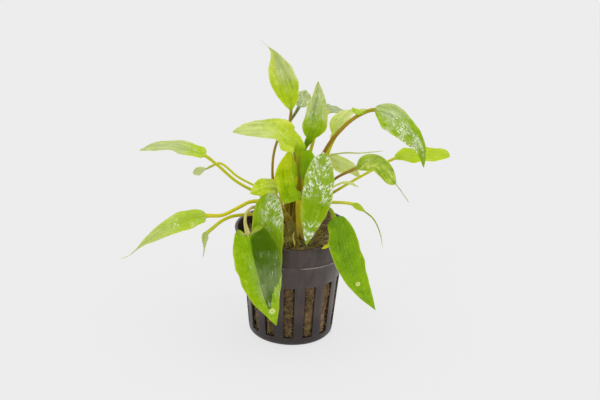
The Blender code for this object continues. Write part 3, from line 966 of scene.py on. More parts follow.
def smooth_path(points, pieces=16):
    """A smooth run of points through the given ones, with the index at which each of them falls."""
    last = len(points) - 1
    slopes = [(points[min(i + 1, last)] - points[max(i - 1, 0)]).normalized() for i in range(last + 1)]
    path, marks = [], []
    for i in range(last):
        reach = (points[i + 1] - points[i]).length / 3
        first = points[i] + slopes[i] * reach
        second = points[i + 1] - slopes[i + 1] * reach
        marks.append(len(path))
        path += interpolate_bezier(points[i], first, second, points[i + 1], pieces)[:-1]
    return path + [points[-1]], marks + [len(path)]


def length_of(path):
    """Length of a path along its points."""
    return sum((b - a).length for a, b in zip(path, path[1:]))


def spot_on(path, share):
    """The place at a share, 0 to 1, of a path's length."""
    left = share * length_of(path)
    for a, b in zip(path, path[1:]):
        size = (b - a).length
        if left <= size:
            return a.lerp(b, left / size)
        left -= size
    return path[-1].copy()


print("a stalk in the second ring stands at", [round(v / MM, 1) for v in seat(2, 0)])

# %% Widths of a leaf
TAPER = 1.7

# Lengths of the sheath at a stalk's foot and of the wings at its neck
SHEATH_REACH = 26 * MM
WING_REACH = 9 * MM

# The blade's edge wanders by this share of its width, about this often
RAGGED = 0.10
RAGGED_STEP = 5 * MM


def outline(share, widest, draw, shoulder, thread):
    """Half width of a blade, 0 to 1: round at its base, then drawn out to the tip.

    shoulder is under 1 for a full, broad base and over 1 for a pointed one. thread is the share
    of the blade's length after which only the midrib goes on as a thread.
    """
    share = min(share / thread, 1)
    if share < widest:
        return (1 - (1 - share / widest) ** 2) ** (0.5 * shoulder)
    return max(1 - ((share - widest) / (1 - widest)) ** TAPER, 0) ** draw


def stalk_row(share, length, radius, sheath, wing):
    """Widths and rises of a row on the stalk: a sheath at its foot, narrow wings at its neck."""
    near_foot = max(0.0, 1 - (share + 1) * length / SHEATH_REACH)
    near_neck = max(0.0, 1 + share * length / WING_REACH)
    width = radius * (1 + sheath * near_foot**1.1) + wing * near_neck**2
    rise = 0.6 * near_foot
    return (width, width, radius * (1 + 0.2 * near_foot)), (rise, rise, 0.35 * near_foot)


def blade_row(share, seed, half, fold, shape, radius, wing, length):
    """Widths and rises of a row on the blade: its two halves, and the rib that thins to the tip."""
    least = (radius + wing * max(1 - 4 * share, 0)) * max(1 - share, 0) ** 0.5
    least *= 1 - 0.6 * min(share * 4, 1)
    widths = []
    for side_number, width in enumerate(half):
        ragged = noise.noise(Vector((share * length / RAGGED_STEP, 7.0 * side_number, seed)))
        widths.append(max(least, width * MM * shape * (1 + RAGGED * ragged)))
    rib = radius * (1 - 0.62 * share**0.5) * (1 - share**4)
    return (*widths, rib), (radians(fold[0]), radians(fold[1]), min(share / 0.05, 1))


print("a plain blade by quarters:", [round(outline(i / 4, 0.38, 1, 1, 1), 2) for i in range(5)])

# %% Spine of a leaf
STALK_STEP = 1.4 * MM
BLADE_ROWS = 72


def spine(foot, stalk, blade, half, face, fold, widest, draw, shoulder, thread, lobe, sheath, wing, radius):
    """Rows of a leaf from its foot to its tip, and the vectors that the leaf tree reads there."""
    path, marks = smooth_path([foot] + [Vector(point) * MM for point in stalk + blade])
    neck = marks[1 + len(stalk)]
    stalk_path, blade_path = path[: neck + 1], path[neck:]
    stalk_length, blade_length = length_of(stalk_path), length_of(blade_path)
    count = max(10, ceil(stalk_length / STALK_STEP))
    shares = [i / count - 1 for i in range(count)] + [i / BLADE_ROWS for i in range(BLADE_ROWS + 1)]
    places = [spot_on(stalk_path, s + 1) if s < 0 else spot_on(blade_path, s) for s in shares]
    last = len(places) - 1
    headings = [(places[min(i + 1, last)] - places[max(i - 1, 0)]).normalized() for i in range(last + 1)]

    # The upper side turns evenly along the blade, and down the stalk it follows without a twist
    first_way, last_way = (Vector(way).normalized() for way in face)
    uppers = [None] * len(places)
    for i in range(count, last + 1):
        side = headings[i].cross(first_way.lerp(last_way, shares[i])).normalized()
        uppers[i] = side.cross(headings[i])
    for i in reversed(range(count)):
        uppers[i] = (headings[i + 1].rotation_difference(headings[i]) @ uppers[i + 1]).normalized()

    # Each row takes its widths, how its halves rise, and how far lobes, waves and blade have come
    rows, extras = [], []
    seed = (foot.x + 3 * foot.y) / MM
    for share in shares:
        if share < 0:
            rows.append(stalk_row(share, stalk_length, radius, sheath, wing))
            extras.append((0.0, 0.0, share))
        else:
            shape = outline(share, widest, draw, shoulder, thread)
            rows.append(blade_row(share, seed, half, fold, shape, radius, wing, blade_length))
            lobes = lobe * MM * max(1 - share / widest, 0) ** 2 * min(share * 20, 1)
            extras.append((lobes, min(share * 5, 1) * (1 - share) ** 0.3, share))
    widths, rises = [list(part) for part in zip(*rows)]
    widths[0] = widths[-1] = (0.0, 0.0, 0.0)
    sides = [h.cross(u) for h, u in zip(headings, uppers)]
    return places, dict(side=sides, upper=uppers, widths=widths, rises=rises, extras=extras), blade_length


print("rows on a blade:", BLADE_ROWS + 1)

# %% [markdown]
# ## The skin of a leaf
#
# The leaf tree lays a closed sheet of points over the spine. Going round one row, the points run
# from the right edge over the upper side to the left edge and back below. On the stalk that loop
# is a circle; on the blade it is flat and thin, with the midrib standing out below. The edges
# wave, the halves fold up or down from the midrib, and a cloudy pattern keeps all of it uneven. A
# flat leaf given a thickness would be quicker, but its edges and its stalk would look cut from card.

# %% Leaf skin: what each point reads
skin, entry, leave = new_group(
    "leaf skin", "GeometryNodeTree",
    {
        "geometry": "Spine", "whole": "Points round",
        "number": "Blade length, Blade thickness, Wave height, Wave count, Unevenness, Seed",
        "material": "Material",
    },
    {"geometry": "Geometry"},
)
rows = wire(skin, "GeometryNodeAttributeDomainSize", {0: entry["Spine"]})
around = entry["Points round"] + 1.0
grid = wire(skin, "GeometryNodeMeshGrid", {"Vertices X": rows, "Vertices Y": around})
number = wire(skin, "GeometryNodeInputIndex")
row = step("FLOOR", number / around)
turn = (number % around) / entry["Points round"] * (2 * pi)


def at_row(value):
    """A vector of the spine, at the row of the point that asks."""
    values = {"Geometry": entry["Spine"], "Value": value, "Index": row}
    return wire(skin, "GeometryNodeSampleIndex", values, data_type="FLOAT_VECTOR")


def spine_vector(name):
    """A named vector of the spine, read in the same way."""
    return at_row(wire(skin, "GeometryNodeInputNamedAttribute", {"Name": name}, data_type="FLOAT_VECTOR"))


centre = at_row(wire(skin, "GeometryNodeInputPosition"))
side, upper = spine_vector("side"), spine_vector("upper")
heading = arrow("CROSS_PRODUCT", upper, side)
right, left, rib = split(spine_vector("widths"))
rise_right, rise_left, flat = split(spine_vector("rises"))
lobes, waving, share = split(spine_vector("extras"))
print("the skin reads", len(skin.nodes), "nodes")

# %% Leaf skin: where each point goes
# With this turn, in radians, a lobe reaches back most two thirds of the way out to the edge
LOBE_TURN = 2.3

across, up = step("COSINE", turn), step("SINE", turn)
is_right, is_upper = across > 0.0, up > 0.0
out = step("ABSOLUTE", across) ** (flat * 0.45 + 1.0)
width = pick(is_right, right, left)
rise = pick(is_right, rise_right, rise_left)
sign = pick(is_right, 1.0, -1.0)
reach = out * width

# Height of the two surfaces over the blade's middle sheet: a thin sheet, and the rib on it
rib_shape = step("EXPONENT", (reach / step("MAXIMUM", rib, 0.01 * MM)) ** 2.0 * -0.9)
rib_height = rib * rib_shape * pick(is_upper, 0.3, 1.0)
sheet_height = entry["Blade thickness"] * step("ABSOLUTE", up) ** 0.6
sheet_height = step("MINIMUM", sheet_height, width * 0.8)
shell = pick(flat, (rib_height + sheet_height) * pick(is_upper, 1.0, -1.0), up * rib)

# The middle sheet: folded at the midrib, waved and uneven
fold = (step("SQRT", out * out + 0.015) - 0.122) * width * step("SINE", rise)
phase = share * entry["Wave count"] * (2 * pi) + sign * 0.9 + entry["Seed"]
wave = step("SINE", phase) * out**1.8 * waving * entry["Wave height"]
shifted = centre + join(entry["Seed"]) + side * (sign * reach)
uneven = (grain(shifted, 170.0, 2.0) - 0.5) * step("SQRT", out) * waving * entry["Unevenness"]
lift = fold + wave + uneven

# The point itself; where a leaf has lobes, its base reaches back beside the stalk
spot = centre + side * (sign * reach * step("COSINE", rise))
spot = spot + upper * (lift + shell) + heading * (lobes * step("SINE", out * LOBE_TURN) * -1.0)
sheet = wire(skin, "GeometryNodeSetPosition", {"Geometry": grid, "Position": spot})
where = {
    "on_leaf": join(share, sign * out, up),
    "leaf_run": join(share * entry["Blade length"], sign * reach, entry["Seed"]),
}
for name, value in where.items():
    values = {"Geometry": sheet, "Name": name, "Value": value}
    sheet = wire(skin, "GeometryNodeStoreNamedAttribute", values, data_type="FLOAT_VECTOR")
sheet = wire(skin, "GeometryNodeMergeByDistance", {"Geometry": sheet, "Distance": 0.001 * MM})
end_tree(leave, sheet, entry["Material"])

# %% [markdown]
# ## The finish of a leaf
#
# Every point of a leaf knows its share of the blade's length and width, and how far along and
# across that is in metres. The veins follow the first, so they meet at the base and at the tip as
# they do on the plant; marks of a real size follow the second. Four shader groups share the work:
# veins and relief, soft zones, the colours, and the wet film. The veins could be drawn one by one,
# but a wave that goes to and fro draws them all: lanes along the leaf, and slanted rungs between.

# %% Vein group
# Rungs between base and tip
CROSS_VEINS = 26.0

veins, entry, leave = new_group(
    "leaf veins", "ShaderNodeTree",
    {"vector": "On leaf, Run, Place", "number": "Vein count"},
    {"number": "Veins, Streaks, Height"},
)
along, across, _ = split(entry["On leaf"])
blade_mask = spread(along, 0.0, 0.05)
from_rib = step("ABSOLUTE", across)
lanes = (from_rib + grain(entry["Place"], 130.0, 1.0) * 0.16) * entry["Vein count"]
lane = step("PINGPONG", lanes, 0.5)
slant = along - from_rib * 0.35 + grain(entry["Place"], 420.0, 2.0) * 0.03
rung = step("PINGPONG", slant * CROSS_VEINS, 0.5)
net = step("MAXIMUM", spread(lane, 0.13, 0.0) * 0.8, spread(rung, 0.16, 0.0) * 0.4)
net = step("MAXIMUM", net, spread(from_rib, 0.075, 0.015)) * blade_mask
drawn = wire(veins, "ShaderNodeMapping", {"Vector": entry["Run"], "Scale": (0.14, 1.0, 1.0)})
streaks = grain(drawn, 620.0, 3.0, 0.55, 0.4)
cells = grain(entry["Place"], 1500.0, 3.0, 0.6)
height = step("SQRT", lane) * 0.5 * blade_mask + streaks * 1.6 + cells * 0.3
end_group(veins, leave, Veins=net, Streaks=streaks, Height=height)

# %% [markdown]
# The painted sheen and the wetness don't cover a whole leaf, so a zone starts and ends softly at
# shares of the blade's length. It can keep to one half of the leaf, and it lies on the upper side only.

# %% Zone group
zone, entry, leave = new_group(
    "leaf zone", "ShaderNodeTree",
    {"vector": "On leaf, Place", "number": "Start, End, Side, Amount"},
    {"number": "Mask"},
)
along, across, up = split(entry["On leaf"])
ragged = (grain(entry["Place"], 260.0, 3.0, 0.6) - 0.5) * 0.5
begun = spread(along + ragged - entry["Start"], -0.16, 0.16)
ended = spread(entry["End"] - along - ragged, -0.12, 0.12)
beside = spread((across + ragged) * entry["Side"], -0.6, -0.1)
mask = begun * ended * pick(step("ABSOLUTE", entry["Side"]) > 0.01, beside, 1.0)
end_group(zone, leave, Mask=mask * spread(up, -0.1, 0.1) * entry["Amount"])

# %% [markdown]
# Most stalks are brown at the foot and greener at the neck, and a blade changes from its base to
# its tip. Flat colours would look like paint, so patches, pale veins and a pale rim of painted light,
# which stands in for light through the thin edge, lie over them, and the underside is duller.

# %% Leaf colour group
tints, entry, leave = new_group(
    "leaf colours", "ShaderNodeTree",
    {
        "vector": "On leaf, Place", "colour": "Foot, Neck, Deep, Base, Tip, Pale",
        "number": "Veins, Streaks, Vein strength, Contrast, Streakiness, Browning",
    },
    {"colour": "Colour"},
)
along, across, up = split(entry["On leaf"])
clouds = grain(entry["Place"], 230.0, 4.0, 0.6)
specks = grain(entry["Place"], 1100.0, 3.0, 0.7)

# The stalk: from its foot to its neck, streaked all along, and most of all where it is a sheath
turning = (along + 1.0) / entry["Browning"] + (clouds - 0.5) * 0.5
stalk = blend(spread(turning, 0.25, 1.0), entry["Foot"], entry["Neck"])
stalk = blend(spread(along, -0.18, -0.06) * 0.8, stalk, entry["Neck"])
stalk = blend(spread(entry["Streaks"], 0.5, 0.7) * 0.35, stalk, entry["Foot"])
sheath = spread(along, -0.45, -0.8)
stalk = blend(spread(entry["Streaks"], 0.52, 0.4) * sheath * 0.6, stalk, colour(226, 206, 110))
stalk = blend(spread(entry["Streaks"], 0.58, 0.66) * sheath * 0.6, stalk, colour(92, 66, 22))

# The blade: from its base to its tip, darker and paler in patches, with pale veins and a rim of painted
# light
blade = blend(spread(along + clouds * 0.3, 0.2, 1.05), entry["Base"], entry["Tip"])
tone = (entry["Streaks"] - 0.5) * entry["Streakiness"] + (clouds - 0.5) * 2.2 + (specks - 0.5) * 1.6
tone = tone * entry["Contrast"]
blade = blend(spread(tone, 0.0, -1.0), blade, entry["Deep"])
blade = blend(spread(tone, 0.0, 1.0), blade, entry["Pale"])
pale = blend(0.6, blade, colour(232, 238, 120))
blade = blend(entry["Veins"] * entry["Vein strength"], blade, pale)
# A rim of painted light: light through the thin edge is painted as a pale margin
rim = spread(step("ABSOLUTE", across), 0.93, 1.0) * 0.5
blade = blend(rim, blade, colour(204, 222, 70))
under_side = spread(up, 0.1, -0.1) * 0.5
blade = blend(under_side, blade, colour(176, 196, 110))
end_group(tints, leave, Colour=blend(spread(along, -0.03, 0.04), stalk, blade))

# %% [markdown]
# A wet leaf has a clear coat, small bumps and pale glints. The glints are painted highlights, pale
# marks in the leaf's colour that are drawn out along the leaf and slant away from the midrib, the
# same way on both halves, as on a leaf that hangs.

# %% Wet film group
wet_film, entry, leave = new_group(
    "wet film", "ShaderNodeTree",
    {"vector": "Run, Place", "number": "Zone, Marks per metre, Stretch, Slant, Cover"},
    {"number": "Height, Glints"},
)
along, across, up = split(entry["Run"])
mirrored = join(along, step("ABSOLUTE", across), up)
values = {"Vector": mirrored, "Angle": entry["Slant"]}
turned = wire(wet_film, "ShaderNodeVectorRotate", values, rotation_type="Z_AXIS")
values = {"Vector": turned, "Scale": join(1.0 / entry["Stretch"], 1.0, 1.0)}
drawn = wire(wet_film, "ShaderNodeMapping", values)
beads = grain(drawn, entry["Marks per metre"], 2.5, 0.55, 1.2)
patches = spread(grain(entry["Place"], 200.0, 3.0, 0.6) + (entry["Cover"] - 0.6) * 0.2, 0.44, 0.58)
level = entry["Cover"] * -0.2 + 0.68
glint = spread(beads - level, -0.03, 0.05) * patches * 0.95
end_group(wet_film, leave, Height=beads * entry["Zone"], Glints=glint * entry["Zone"])

# %% [markdown]
# One function places the groups in a material, and small helpers add what only some leaves have:
# a painted sheen that stands in for reflected light, a dry gap in the wet film, a pale spot, which
# on the large front leaf is a painted highlight, or a dark half of painted shade. Old leaves are
# grey and carry the painted sheen, young ones yellow, and those in front are wet, so every leaf
# brings its own values. Painting each leaf by hand would show more, but a rule stays sharp from
# near by and needs no picture.

# %% What only some leaves have
# Grey-white colours of the painted sheen, reflected light painted onto a leaf
SHEEN_PALE = colour(206, 214, 170)
SHEEN_GREY = colour(150, 166, 120)
# Colour of the pale spot, which on the large front leaf is a painted highlight
SPOT_AND_HIGHLIGHT = colour(238, 240, 160)


def in_zone(tree, on_leaf, place, start, end, side, amount):
    """A soft zone of the upper side: start and end run along the blade, side picks a half."""
    values = {"On leaf": on_leaf, "Place": place, "Start": start, "End": end, "Side": side, "Amount": amount}
    return use_group(tree, zone, values)["Mask"]


def misted(shown, sheen_zone, streaks, place):
    """A colour under a painted sheen: fine grey-white grit that stands in for reflected light."""
    grit = spread(streaks * 0.7 + grain(place, 1400.0, 3.0, 0.7) * 0.3, 0.34, 0.64)
    return blend(sheen_zone * 0.8, shown, blend(grit, SHEEN_GREY, SHEEN_PALE))


def pale_spot_and_highlight(shown, run, place, spot, heart):
    """A pale round spot with a green heart, a painted highlight on the large front leaf; spot is its place
    along and across and its radius, in mm.
    """
    at_along, at_across, radius = (value * MM for value in spot)
    along, across, _ = split(run)
    along, across = along - at_along, across - at_across
    off = step("SQRT", along * along + across * across) + (grain(place, 1500.0, 2.0) - 0.5) * (0.8 * MM)
    shown = blend(spread(off, radius, 0.6 * radius) * 0.8, shown, SPOT_AND_HIGHLIGHT)
    return blend(spread(off, 0.4 * radius, 0.2 * radius) * 0.5, shown, heart)


def dark_half_mask(on_leaf, place, streaks):
    """The dark zone on the half of the large front leaf that another leaf shades."""
    along, across, _ = split(on_leaf)
    ragged = (grain(place, 260.0, 3.0) - 0.5) * 0.16 + (streaks - 0.5) * 0.3
    aside = ragged - across
    edge = spread(along, 0.36, 0.84, 1.12, 0.28)
    ends = spread(along, 0.03, 0.09) * spread(along, 0.86, 0.76)
    return spread(aside, -0.03, 0.07) * spread(edge - aside, -0.04, 0.05) * ends * 0.9


def dry_gap(on_leaf, start, end):
    """0 between two shares of the blade's length, where a wet leaf is dry, and 1 elsewhere."""
    along, _, _ = split(on_leaf)
    return 1.0 - spread(along, start - 0.05, start + 0.05) * spread(along, end + 0.05, end - 0.05)


print("helpers for mist, spots and shade are ready")

# %% Leaf material
OLIVE = (178, 156, 52)
YELLOW_STALK = (198, 202, 42)
PALE_GREEN = colour(214, 226, 120)
BLACK = colour(0, 0, 0)
GLINT = colour(244, 248, 232)

# A thin leaf lets light through, more yellow than blue, and its own shine is faint and green
LEAF_SURFACE = {
    "Roughness": 0.42, "Specular IOR Level": 0.15, "Specular Tint": (0.8, 1.0, 0.2, 1),
    "Coat Roughness": 0.07, "Coat IOR": 1.33, "Subsurface Weight": 0.55,
    "Subsurface Radius": (1.0, 1.0, 0.3), "Subsurface Scale": 1.2 * MM,
}


def between(first, second, share):
    """A plain colour at a share of the way from one to another."""
    return tuple(a * (1 - share) + b * share for a, b in zip(first, second))


def leaf_finish(
    name, base, tip, deep=None, pale=None, low_stalk=OLIVE, high_stalk=YELLOW_STALK, browning=0.9,
    contrast=0.6, streaky=1.3, vein=0.2, vein_count=4.0, mist=0.0, mist_from=0.0, mist_to=1.2, mist_side=0.0,
    wet=0.0, wet_from=-0.2, wet_to=1.2, wet_side=0.0, marks=1500.0, stretch=2.0, slant=0.3, cover=0.5,
    dry=None, spot=None, dark_half=None,
):
    """A leaf's material; dark_half names the colour of the half that another leaf lies behind."""
    material, tree, shader, place = new_material(name + "_skin")
    on_leaf = wire(tree, "ShaderNodeAttribute", get="Vector", attribute_name="on_leaf")
    run = wire(tree, "ShaderNodeAttribute", get="Vector", attribute_name="leaf_run")
    base = colour(*base)
    net = use_group(tree, veins, {"On leaf": on_leaf, "Run": run, "Place": place, "Vein count": vein_count})
    shown = use_group(tree, tints, {
        "On leaf": on_leaf, "Place": place, "Veins": net["Veins"], "Streaks": net["Streaks"],
        "Foot": colour(*low_stalk), "Neck": colour(*high_stalk), "Base": base, "Tip": colour(*tip),
        "Deep": colour(*deep) if deep else between(base, BLACK, 0.45),
        "Pale": colour(*pale) if pale else between(base, PALE_GREEN, 0.45),
        "Vein strength": vein, "Contrast": contrast, "Streakiness": streaky, "Browning": browning,
    })["Colour"]
    if dark_half:
        shown = blend(dark_half_mask(on_leaf, place, net["Streaks"]), shown, colour(*dark_half))
    # The painted sheen: reflected light painted over the colour in a soft zone
    if mist:
        sheen_zone = in_zone(tree, on_leaf, place, mist_from, mist_to, mist_side, mist)
        shown = misted(shown, sheen_zone, net["Streaks"], place)
    height = net["Height"]
    if wet:
        wet_zone = in_zone(tree, on_leaf, place, wet_from, wet_to, wet_side, wet)
        if dry:
            wet_zone = wet_zone * dry_gap(on_leaf, *dry)
        film = use_group(tree, wet_film, {
            "Run": run, "Place": place, "Zone": wet_zone, "Marks per metre": marks, "Stretch": stretch,
            "Slant": slant, "Cover": cover,
        })
        # Painted highlights: the glints lay pale marks into the colour
        shown = blend(film["Glints"], shown, GLINT)
        height = height + film["Height"] * 1.6
        plug(shader["Coat Weight"], wet_zone * 0.7)
    if spot:
        shown = pale_spot_and_highlight(shown, run, place, spot, base)
    plug(shader["Base Color"], shown)
    for label, value in LEAF_SURFACE.items():
        plug(shader[label], value)
    relief(shader, height, depth=0.16 * MM)
    return material


print("a leaf's surface sets", len(LEAF_SURFACE), "plain values")

# %% [markdown]
# ## The leaves
#
# Each call below is one leaf: the points of its stalk and blade in millimetres, the half widths
# right and left of the midrib, the ways its upper side faces at the neck and at the tip, and how
# its halves fold in degrees. Its colours are screen colours, 0 to 255. Values that most leaves share
# are the builder's own, so that a call says only what sets its leaf apart.

# %% Leaf builder
POINTS_ROUND = 40
BLADE_THICKNESS = 0.17 * MM
# Blades narrower than this, in millimetres, wave less
LARGE_BLADE = 11

leaf_pieces = []


def leaf(
    node, slot, foot, stalk, blade, half, face, fold=(10, 10), widest=0.38, draw=1.0, shoulder=1.0,
    thread=1.0, lobe=0.0, sheath=1.5, wing=0.3, radius=0.8, wave=0.35, waves=2.5, uneven=1.4,
    extra=False, **finish,
):
    """Build one leaf over its spine and let it stand for its node; an extra growth has no node."""
    name = node if extra else node.replace("leaf_", "") + "_leaf"
    places, rows, blade_length = spine(
        foot, stalk, blade, half, face, fold, widest, draw, shoulder, thread, lobe, sheath,
        wing * MM, radius * MM,
    )
    size = min(1, sum(half) / LARGE_BLADE)
    item = helper(name + "_spine", places, **rows)
    apply_tree(
        item, skin, points_round=POINTS_ROUND, blade_length=blade_length, blade_thickness=BLADE_THICKNESS,
        wave_height=wave * size * MM, wave_count=waves, unevenness=uneven * size * MM,
        seed=float(len(leaf_pieces)), material=leaf_finish(name, **finish),
    )
    leaf_pieces.append(finish_piece(item, name, None if extra else node))


print("points round a leaf:", POINTS_ROUND)

# %% [markdown]
# The tall leaves rise from the middle of the rosette. A painted sheen, which stands in for reflected
# light, dulls their tips, two that stand behind the others are grey with age, and the highest on the
# right arches over and hangs wet.

# %% The tall leaves
leaf("leaf_crest", "leaf_light", seat(1, 150),
     stalk=[(0, 5, 81), (-3, 7, 100)],
     blade=[(-2.6, 8, 106), (-4.2, 9, 115), (-7.8, 8, 125), (-11, 6, 133), (-17, 3, 140)],
     half=(5.9, 6.6), face=((-2, -10, 3), (-1, -10, 5)), fold=(12, 12), widest=0.45, draw=1.5,
     shoulder=1.5, thread=0.88, wing=0.1, radius=0.62, wave=0.6, waves=3.0, uneven=3.0,
     base=(174, 200, 24), tip=(196, 214, 94), deep=(140, 174, 6), pale=(218, 230, 138),
     high_stalk=(150, 128, 44), browning=1.3, contrast=1.1, streaky=2.2, vein=0.4, mist=0.85,
     mist_from=0.36, mist_side=1.0)
leaf("leaf_crest_back", "leaf_grey", seat(2, 118),
     stalk=[(-8.6, 12, 63), (-10.6, 14, 76), (-8.6, 14, 89), (-3, 16, 98)],
     blade=[(1, 20, 104), (4, 30, 109)],
     half=(4.8, 4.8), face=((2, -3, 10), (2, -3, 10)), shoulder=0.8, radius=0.6,
     base=(136, 160, 50), tip=(146, 168, 76), deep=(98, 122, 26), pale=(204, 214, 150),
     low_stalk=(190, 150, 58), high_stalk=(96, 112, 22), browning=1.1, contrast=1.7, mist=0.5, wet=0.55,
     marks=2000.0, stretch=1.5, cover=0.8)
leaf("leaf_centre_high", "leaf_fresh", seat(0, 0),
     stalk=[(5, 1, 75), (4, 0, 90)], blade=[(6, -2, 96), (8, -5, 106), (9, -5, 115), (9, -3, 123.7)],
     half=(6.0, 5.3), face=((2, -10, 2), (0, -10, 3)), fold=(15, 15), widest=0.33, shoulder=1.5,
     sheath=3.4, wing=1.2, wave=0.5,
     base=(138, 176, 6), tip=(158, 184, 30), deep=(104, 142, 2), pale=(194, 212, 90),
     high_stalk=(112, 148, 10), contrast=1.1, mist=0.8, mist_from=0.44, wet=0.5, wet_from=0.3, wet_to=0.9,
     stretch=1.5, cover=0.6)
leaf("leaf_back_low", "leaf_grey", seat(1, 90),
     stalk=[(7, 12, 86), (11, 16, 99)], blade=[(15, 23, 101), (22.5, 33, 98.5)],
     half=(5.2, 5.2), face=((1, -2, 10), (1, -2, 10)),
     base=(108, 134, 30), tip=(122, 146, 60), deep=(76, 104, 8), pale=(174, 188, 124), contrast=1.3,
     mist=0.6, wet=0.4, marks=2000.0, stretch=1.5, cover=0.7)
leaf("leaf_back_pale", "leaf_light", seat(1, 30),
     stalk=[(10, 8, 70), (14.6, 11, 84)],
     blade=[(17.4, 12, 93), (20.5, 15, 99), (24.5, 20, 101.4), (28.3, 24, 102.8)],
     half=(3.2, 4.9), face=((-3, -8, 6), (-2, -5, 10)), draw=1.2, shoulder=1.4, wing=0.8, wave=0.5,
     base=(194, 214, 62), tip=(214, 226, 126), deep=(158, 180, 22), pale=(226, 234, 180), contrast=1.2,
     mist=0.5, mist_from=0.1)
leaf("leaf_high_left", "leaf_light", seat(2, 270),
     stalk=[(0.2, -6, 65), (2.2, -8, 75), (1.4, -11, 88)],
     blade=[(1.5, -9, 94.5), (-2.6, -11, 98.6), (-9.5, -14, 103.4), (-17, -18, 105.2), (-27.3, -24, 106)],
     half=(7.1, 7.4), face=((-5, -6, 8), (-1, -6, 8)), widest=0.3, draw=0.85, shoulder=1.2, sheath=3.0,
     wing=2.8, wave=0.7, waves=1.4, uneven=2.2,
     base=(180, 206, 22), tip=(204, 220, 106), deep=(142, 170, 6), pale=(216, 230, 96),
     low_stalk=(128, 106, 26), high_stalk=(150, 186, 16), browning=1.5, contrast=1.0, streaky=2.4,
     vein=0.8, vein_count=6.0, mist=0.6, mist_from=0.5, wet=0.55, wet_from=0.05, wet_to=0.55, stretch=9.0,
     slant=0.0, cover=0.35)
leaf("leaf_high_right", "leaf_wet", seat(1, 330),
     stalk=[(7, -1, 74), (14, -4, 93), (21, -7, 104), (27, -6, 109)],
     blade=[(34.4, -6, 112.2), (42, -8, 110.6), (49.4, -12, 105), (55, -15, 98.8), (56.5, -18, 90)],
     half=(7.8, 6.8), face=((0, -5, 8), (6, -6, 5)), fold=(-10, -10), widest=0.27, wing=0.1, radius=0.86,
     wave=0.5,
     base=(138, 174, 8), tip=(126, 160, 8), deep=(96, 132, 0), pale=(188, 208, 90),
     low_stalk=(150, 104, 30), high_stalk=(172, 154, 44), browning=1.1, contrast=0.9, mist=0.8,
     mist_to=0.34, mist_side=-0.8, wet=1.0, wet_from=0.2, wet_to=0.9, wet_side=1.2, marks=1900.0,
     stretch=1.5, cover=0.82)

# %% [markdown]
# The leaves at the sides lie lower and reach far out. Their stalks are long and bow before the
# blade begins, and some are so far turned that only their edge shows.

# %% The leaves at the sides
leaf("leaf_left_high", "leaf_fresh", seat(2, 179),
     stalk=[(-11, 6, 62), (-27, 10, 69.8), (-36, 13, 76.4)],
     blade=[(-42, 14, 80.6), (-49, 16, 82.4), (-60, 18, 83.5), (-73, 18, 80.8)],
     half=(5.6, 5.6), face=((0, -2, 10), (0, -2, 10)), fold=(6, 6), widest=0.22, draw=0.6, shoulder=0.7,
     radius=0.7, wave=0.5,
     base=(172, 198, 36), tip=(190, 208, 104), deep=(140, 166, 14), pale=(214, 224, 160), browning=0.5,
     contrast=0.8, mist=0.8, mist_from=0.25)
leaf("leaf_left_back", "leaf_fresh", seat(2, 149),
     stalk=[(-8, 6, 64.6), (-19, 12, 67.4), (-27, 17, 69.6), (-35, 21, 74.4), (-38.5, 21, 73.4)],
     blade=[(-41, 21, 72), (-48.2, 19.8, 69.4)],
     half=(2.7, 2.7), face=((0, 4, 9), (0, -9, 4)), fold=(5, 5), draw=0.6, radius=0.55,
     base=(218, 226, 150), tip=(226, 232, 178), browning=0.5, mist=0.7)
leaf("leaf_left_front", "leaf_wet", seat(2, 209),
     stalk=[(-11, -9, 67), (-19, -12, 69), (-25, -15, 67), (-32, -17, 64)],
     blade=[(-39, -18, 64), (-45, -20, 64), (-54, -23, 61), (-63, -26, 56), (-72, -27.5, 48),
            (-76, -28, 46.2)],
     half=(5.4, 5.4), face=((0, -5, 9), (-2, -5, 8)), fold=(-8, -8), widest=0.3, draw=2.6, shoulder=0.5,
     wave=0.5,
     base=(162, 190, 30), tip=(184, 202, 90), deep=(138, 166, 12), pale=(204, 214, 136),
     high_stalk=(212, 208, 44), browning=0.45, contrast=0.8, mist=0.5, mist_from=0.5, wet=0.8, wet_to=0.55,
     stretch=3.0, cover=0.45)
leaf("leaf_left_hook", "leaf_fresh", seat(3, 195),
     stalk=[(-13, -13, 63), (-26, -17, 64), (-31.5, -19.5, 62.6), (-36, -20.6, 59)],
     blade=[(-38.2, -21.2, 57), (-39.2, -21.5, 53.4), (-39.5, -21.8, 49.5), (-40, -22, 45)],
     half=(2.4, 2.4), face=((-7, -5, 5), (-6, -8, 0)), fold=(8, 8), widest=0.2, thread=0.62, radius=0.75,
     base=(176, 196, 70), tip=(204, 212, 150), mist=0.5)
leaf("leaf_left_low", "leaf_deep", seat(1, 210),
     stalk=[(-4, -3, 66)], blade=[(-7, -2, 71), (-13, -5, 73.2), (-20, -9, 71.6)],
     half=(6.0, 5.6), face=((-1, -6, 8), (-1, -6, 8)), fold=(-8, -8), widest=0.4, shoulder=0.8,
     base=(200, 220, 40), tip=(196, 220, 44), deep=(150, 176, 8), pale=(246, 250, 190), contrast=1.3,
     mist=0.25, mist_from=-0.3, mist_to=0.4)
leaf("leaf_far_right", "leaf_fresh", seat(2, 15),
     stalk=[(11, 8, 61), (23, 13, 68), (36, 19, 74)],
     blade=[(47, 23, 79), (55, 25, 80), (64, 27, 80), (73, 28, 80)],
     half=(6.0, 7.2), face=((0, -2, 10), (2, -2, 10)), fold=(0, 0), widest=0.45, draw=0.32, radius=0.62,
     wave=0.5,
     base=(164, 192, 10), tip=(172, 198, 20), deep=(144, 174, 2), pale=(204, 218, 110), browning=0.5,
     contrast=0.8, vein=0.3)
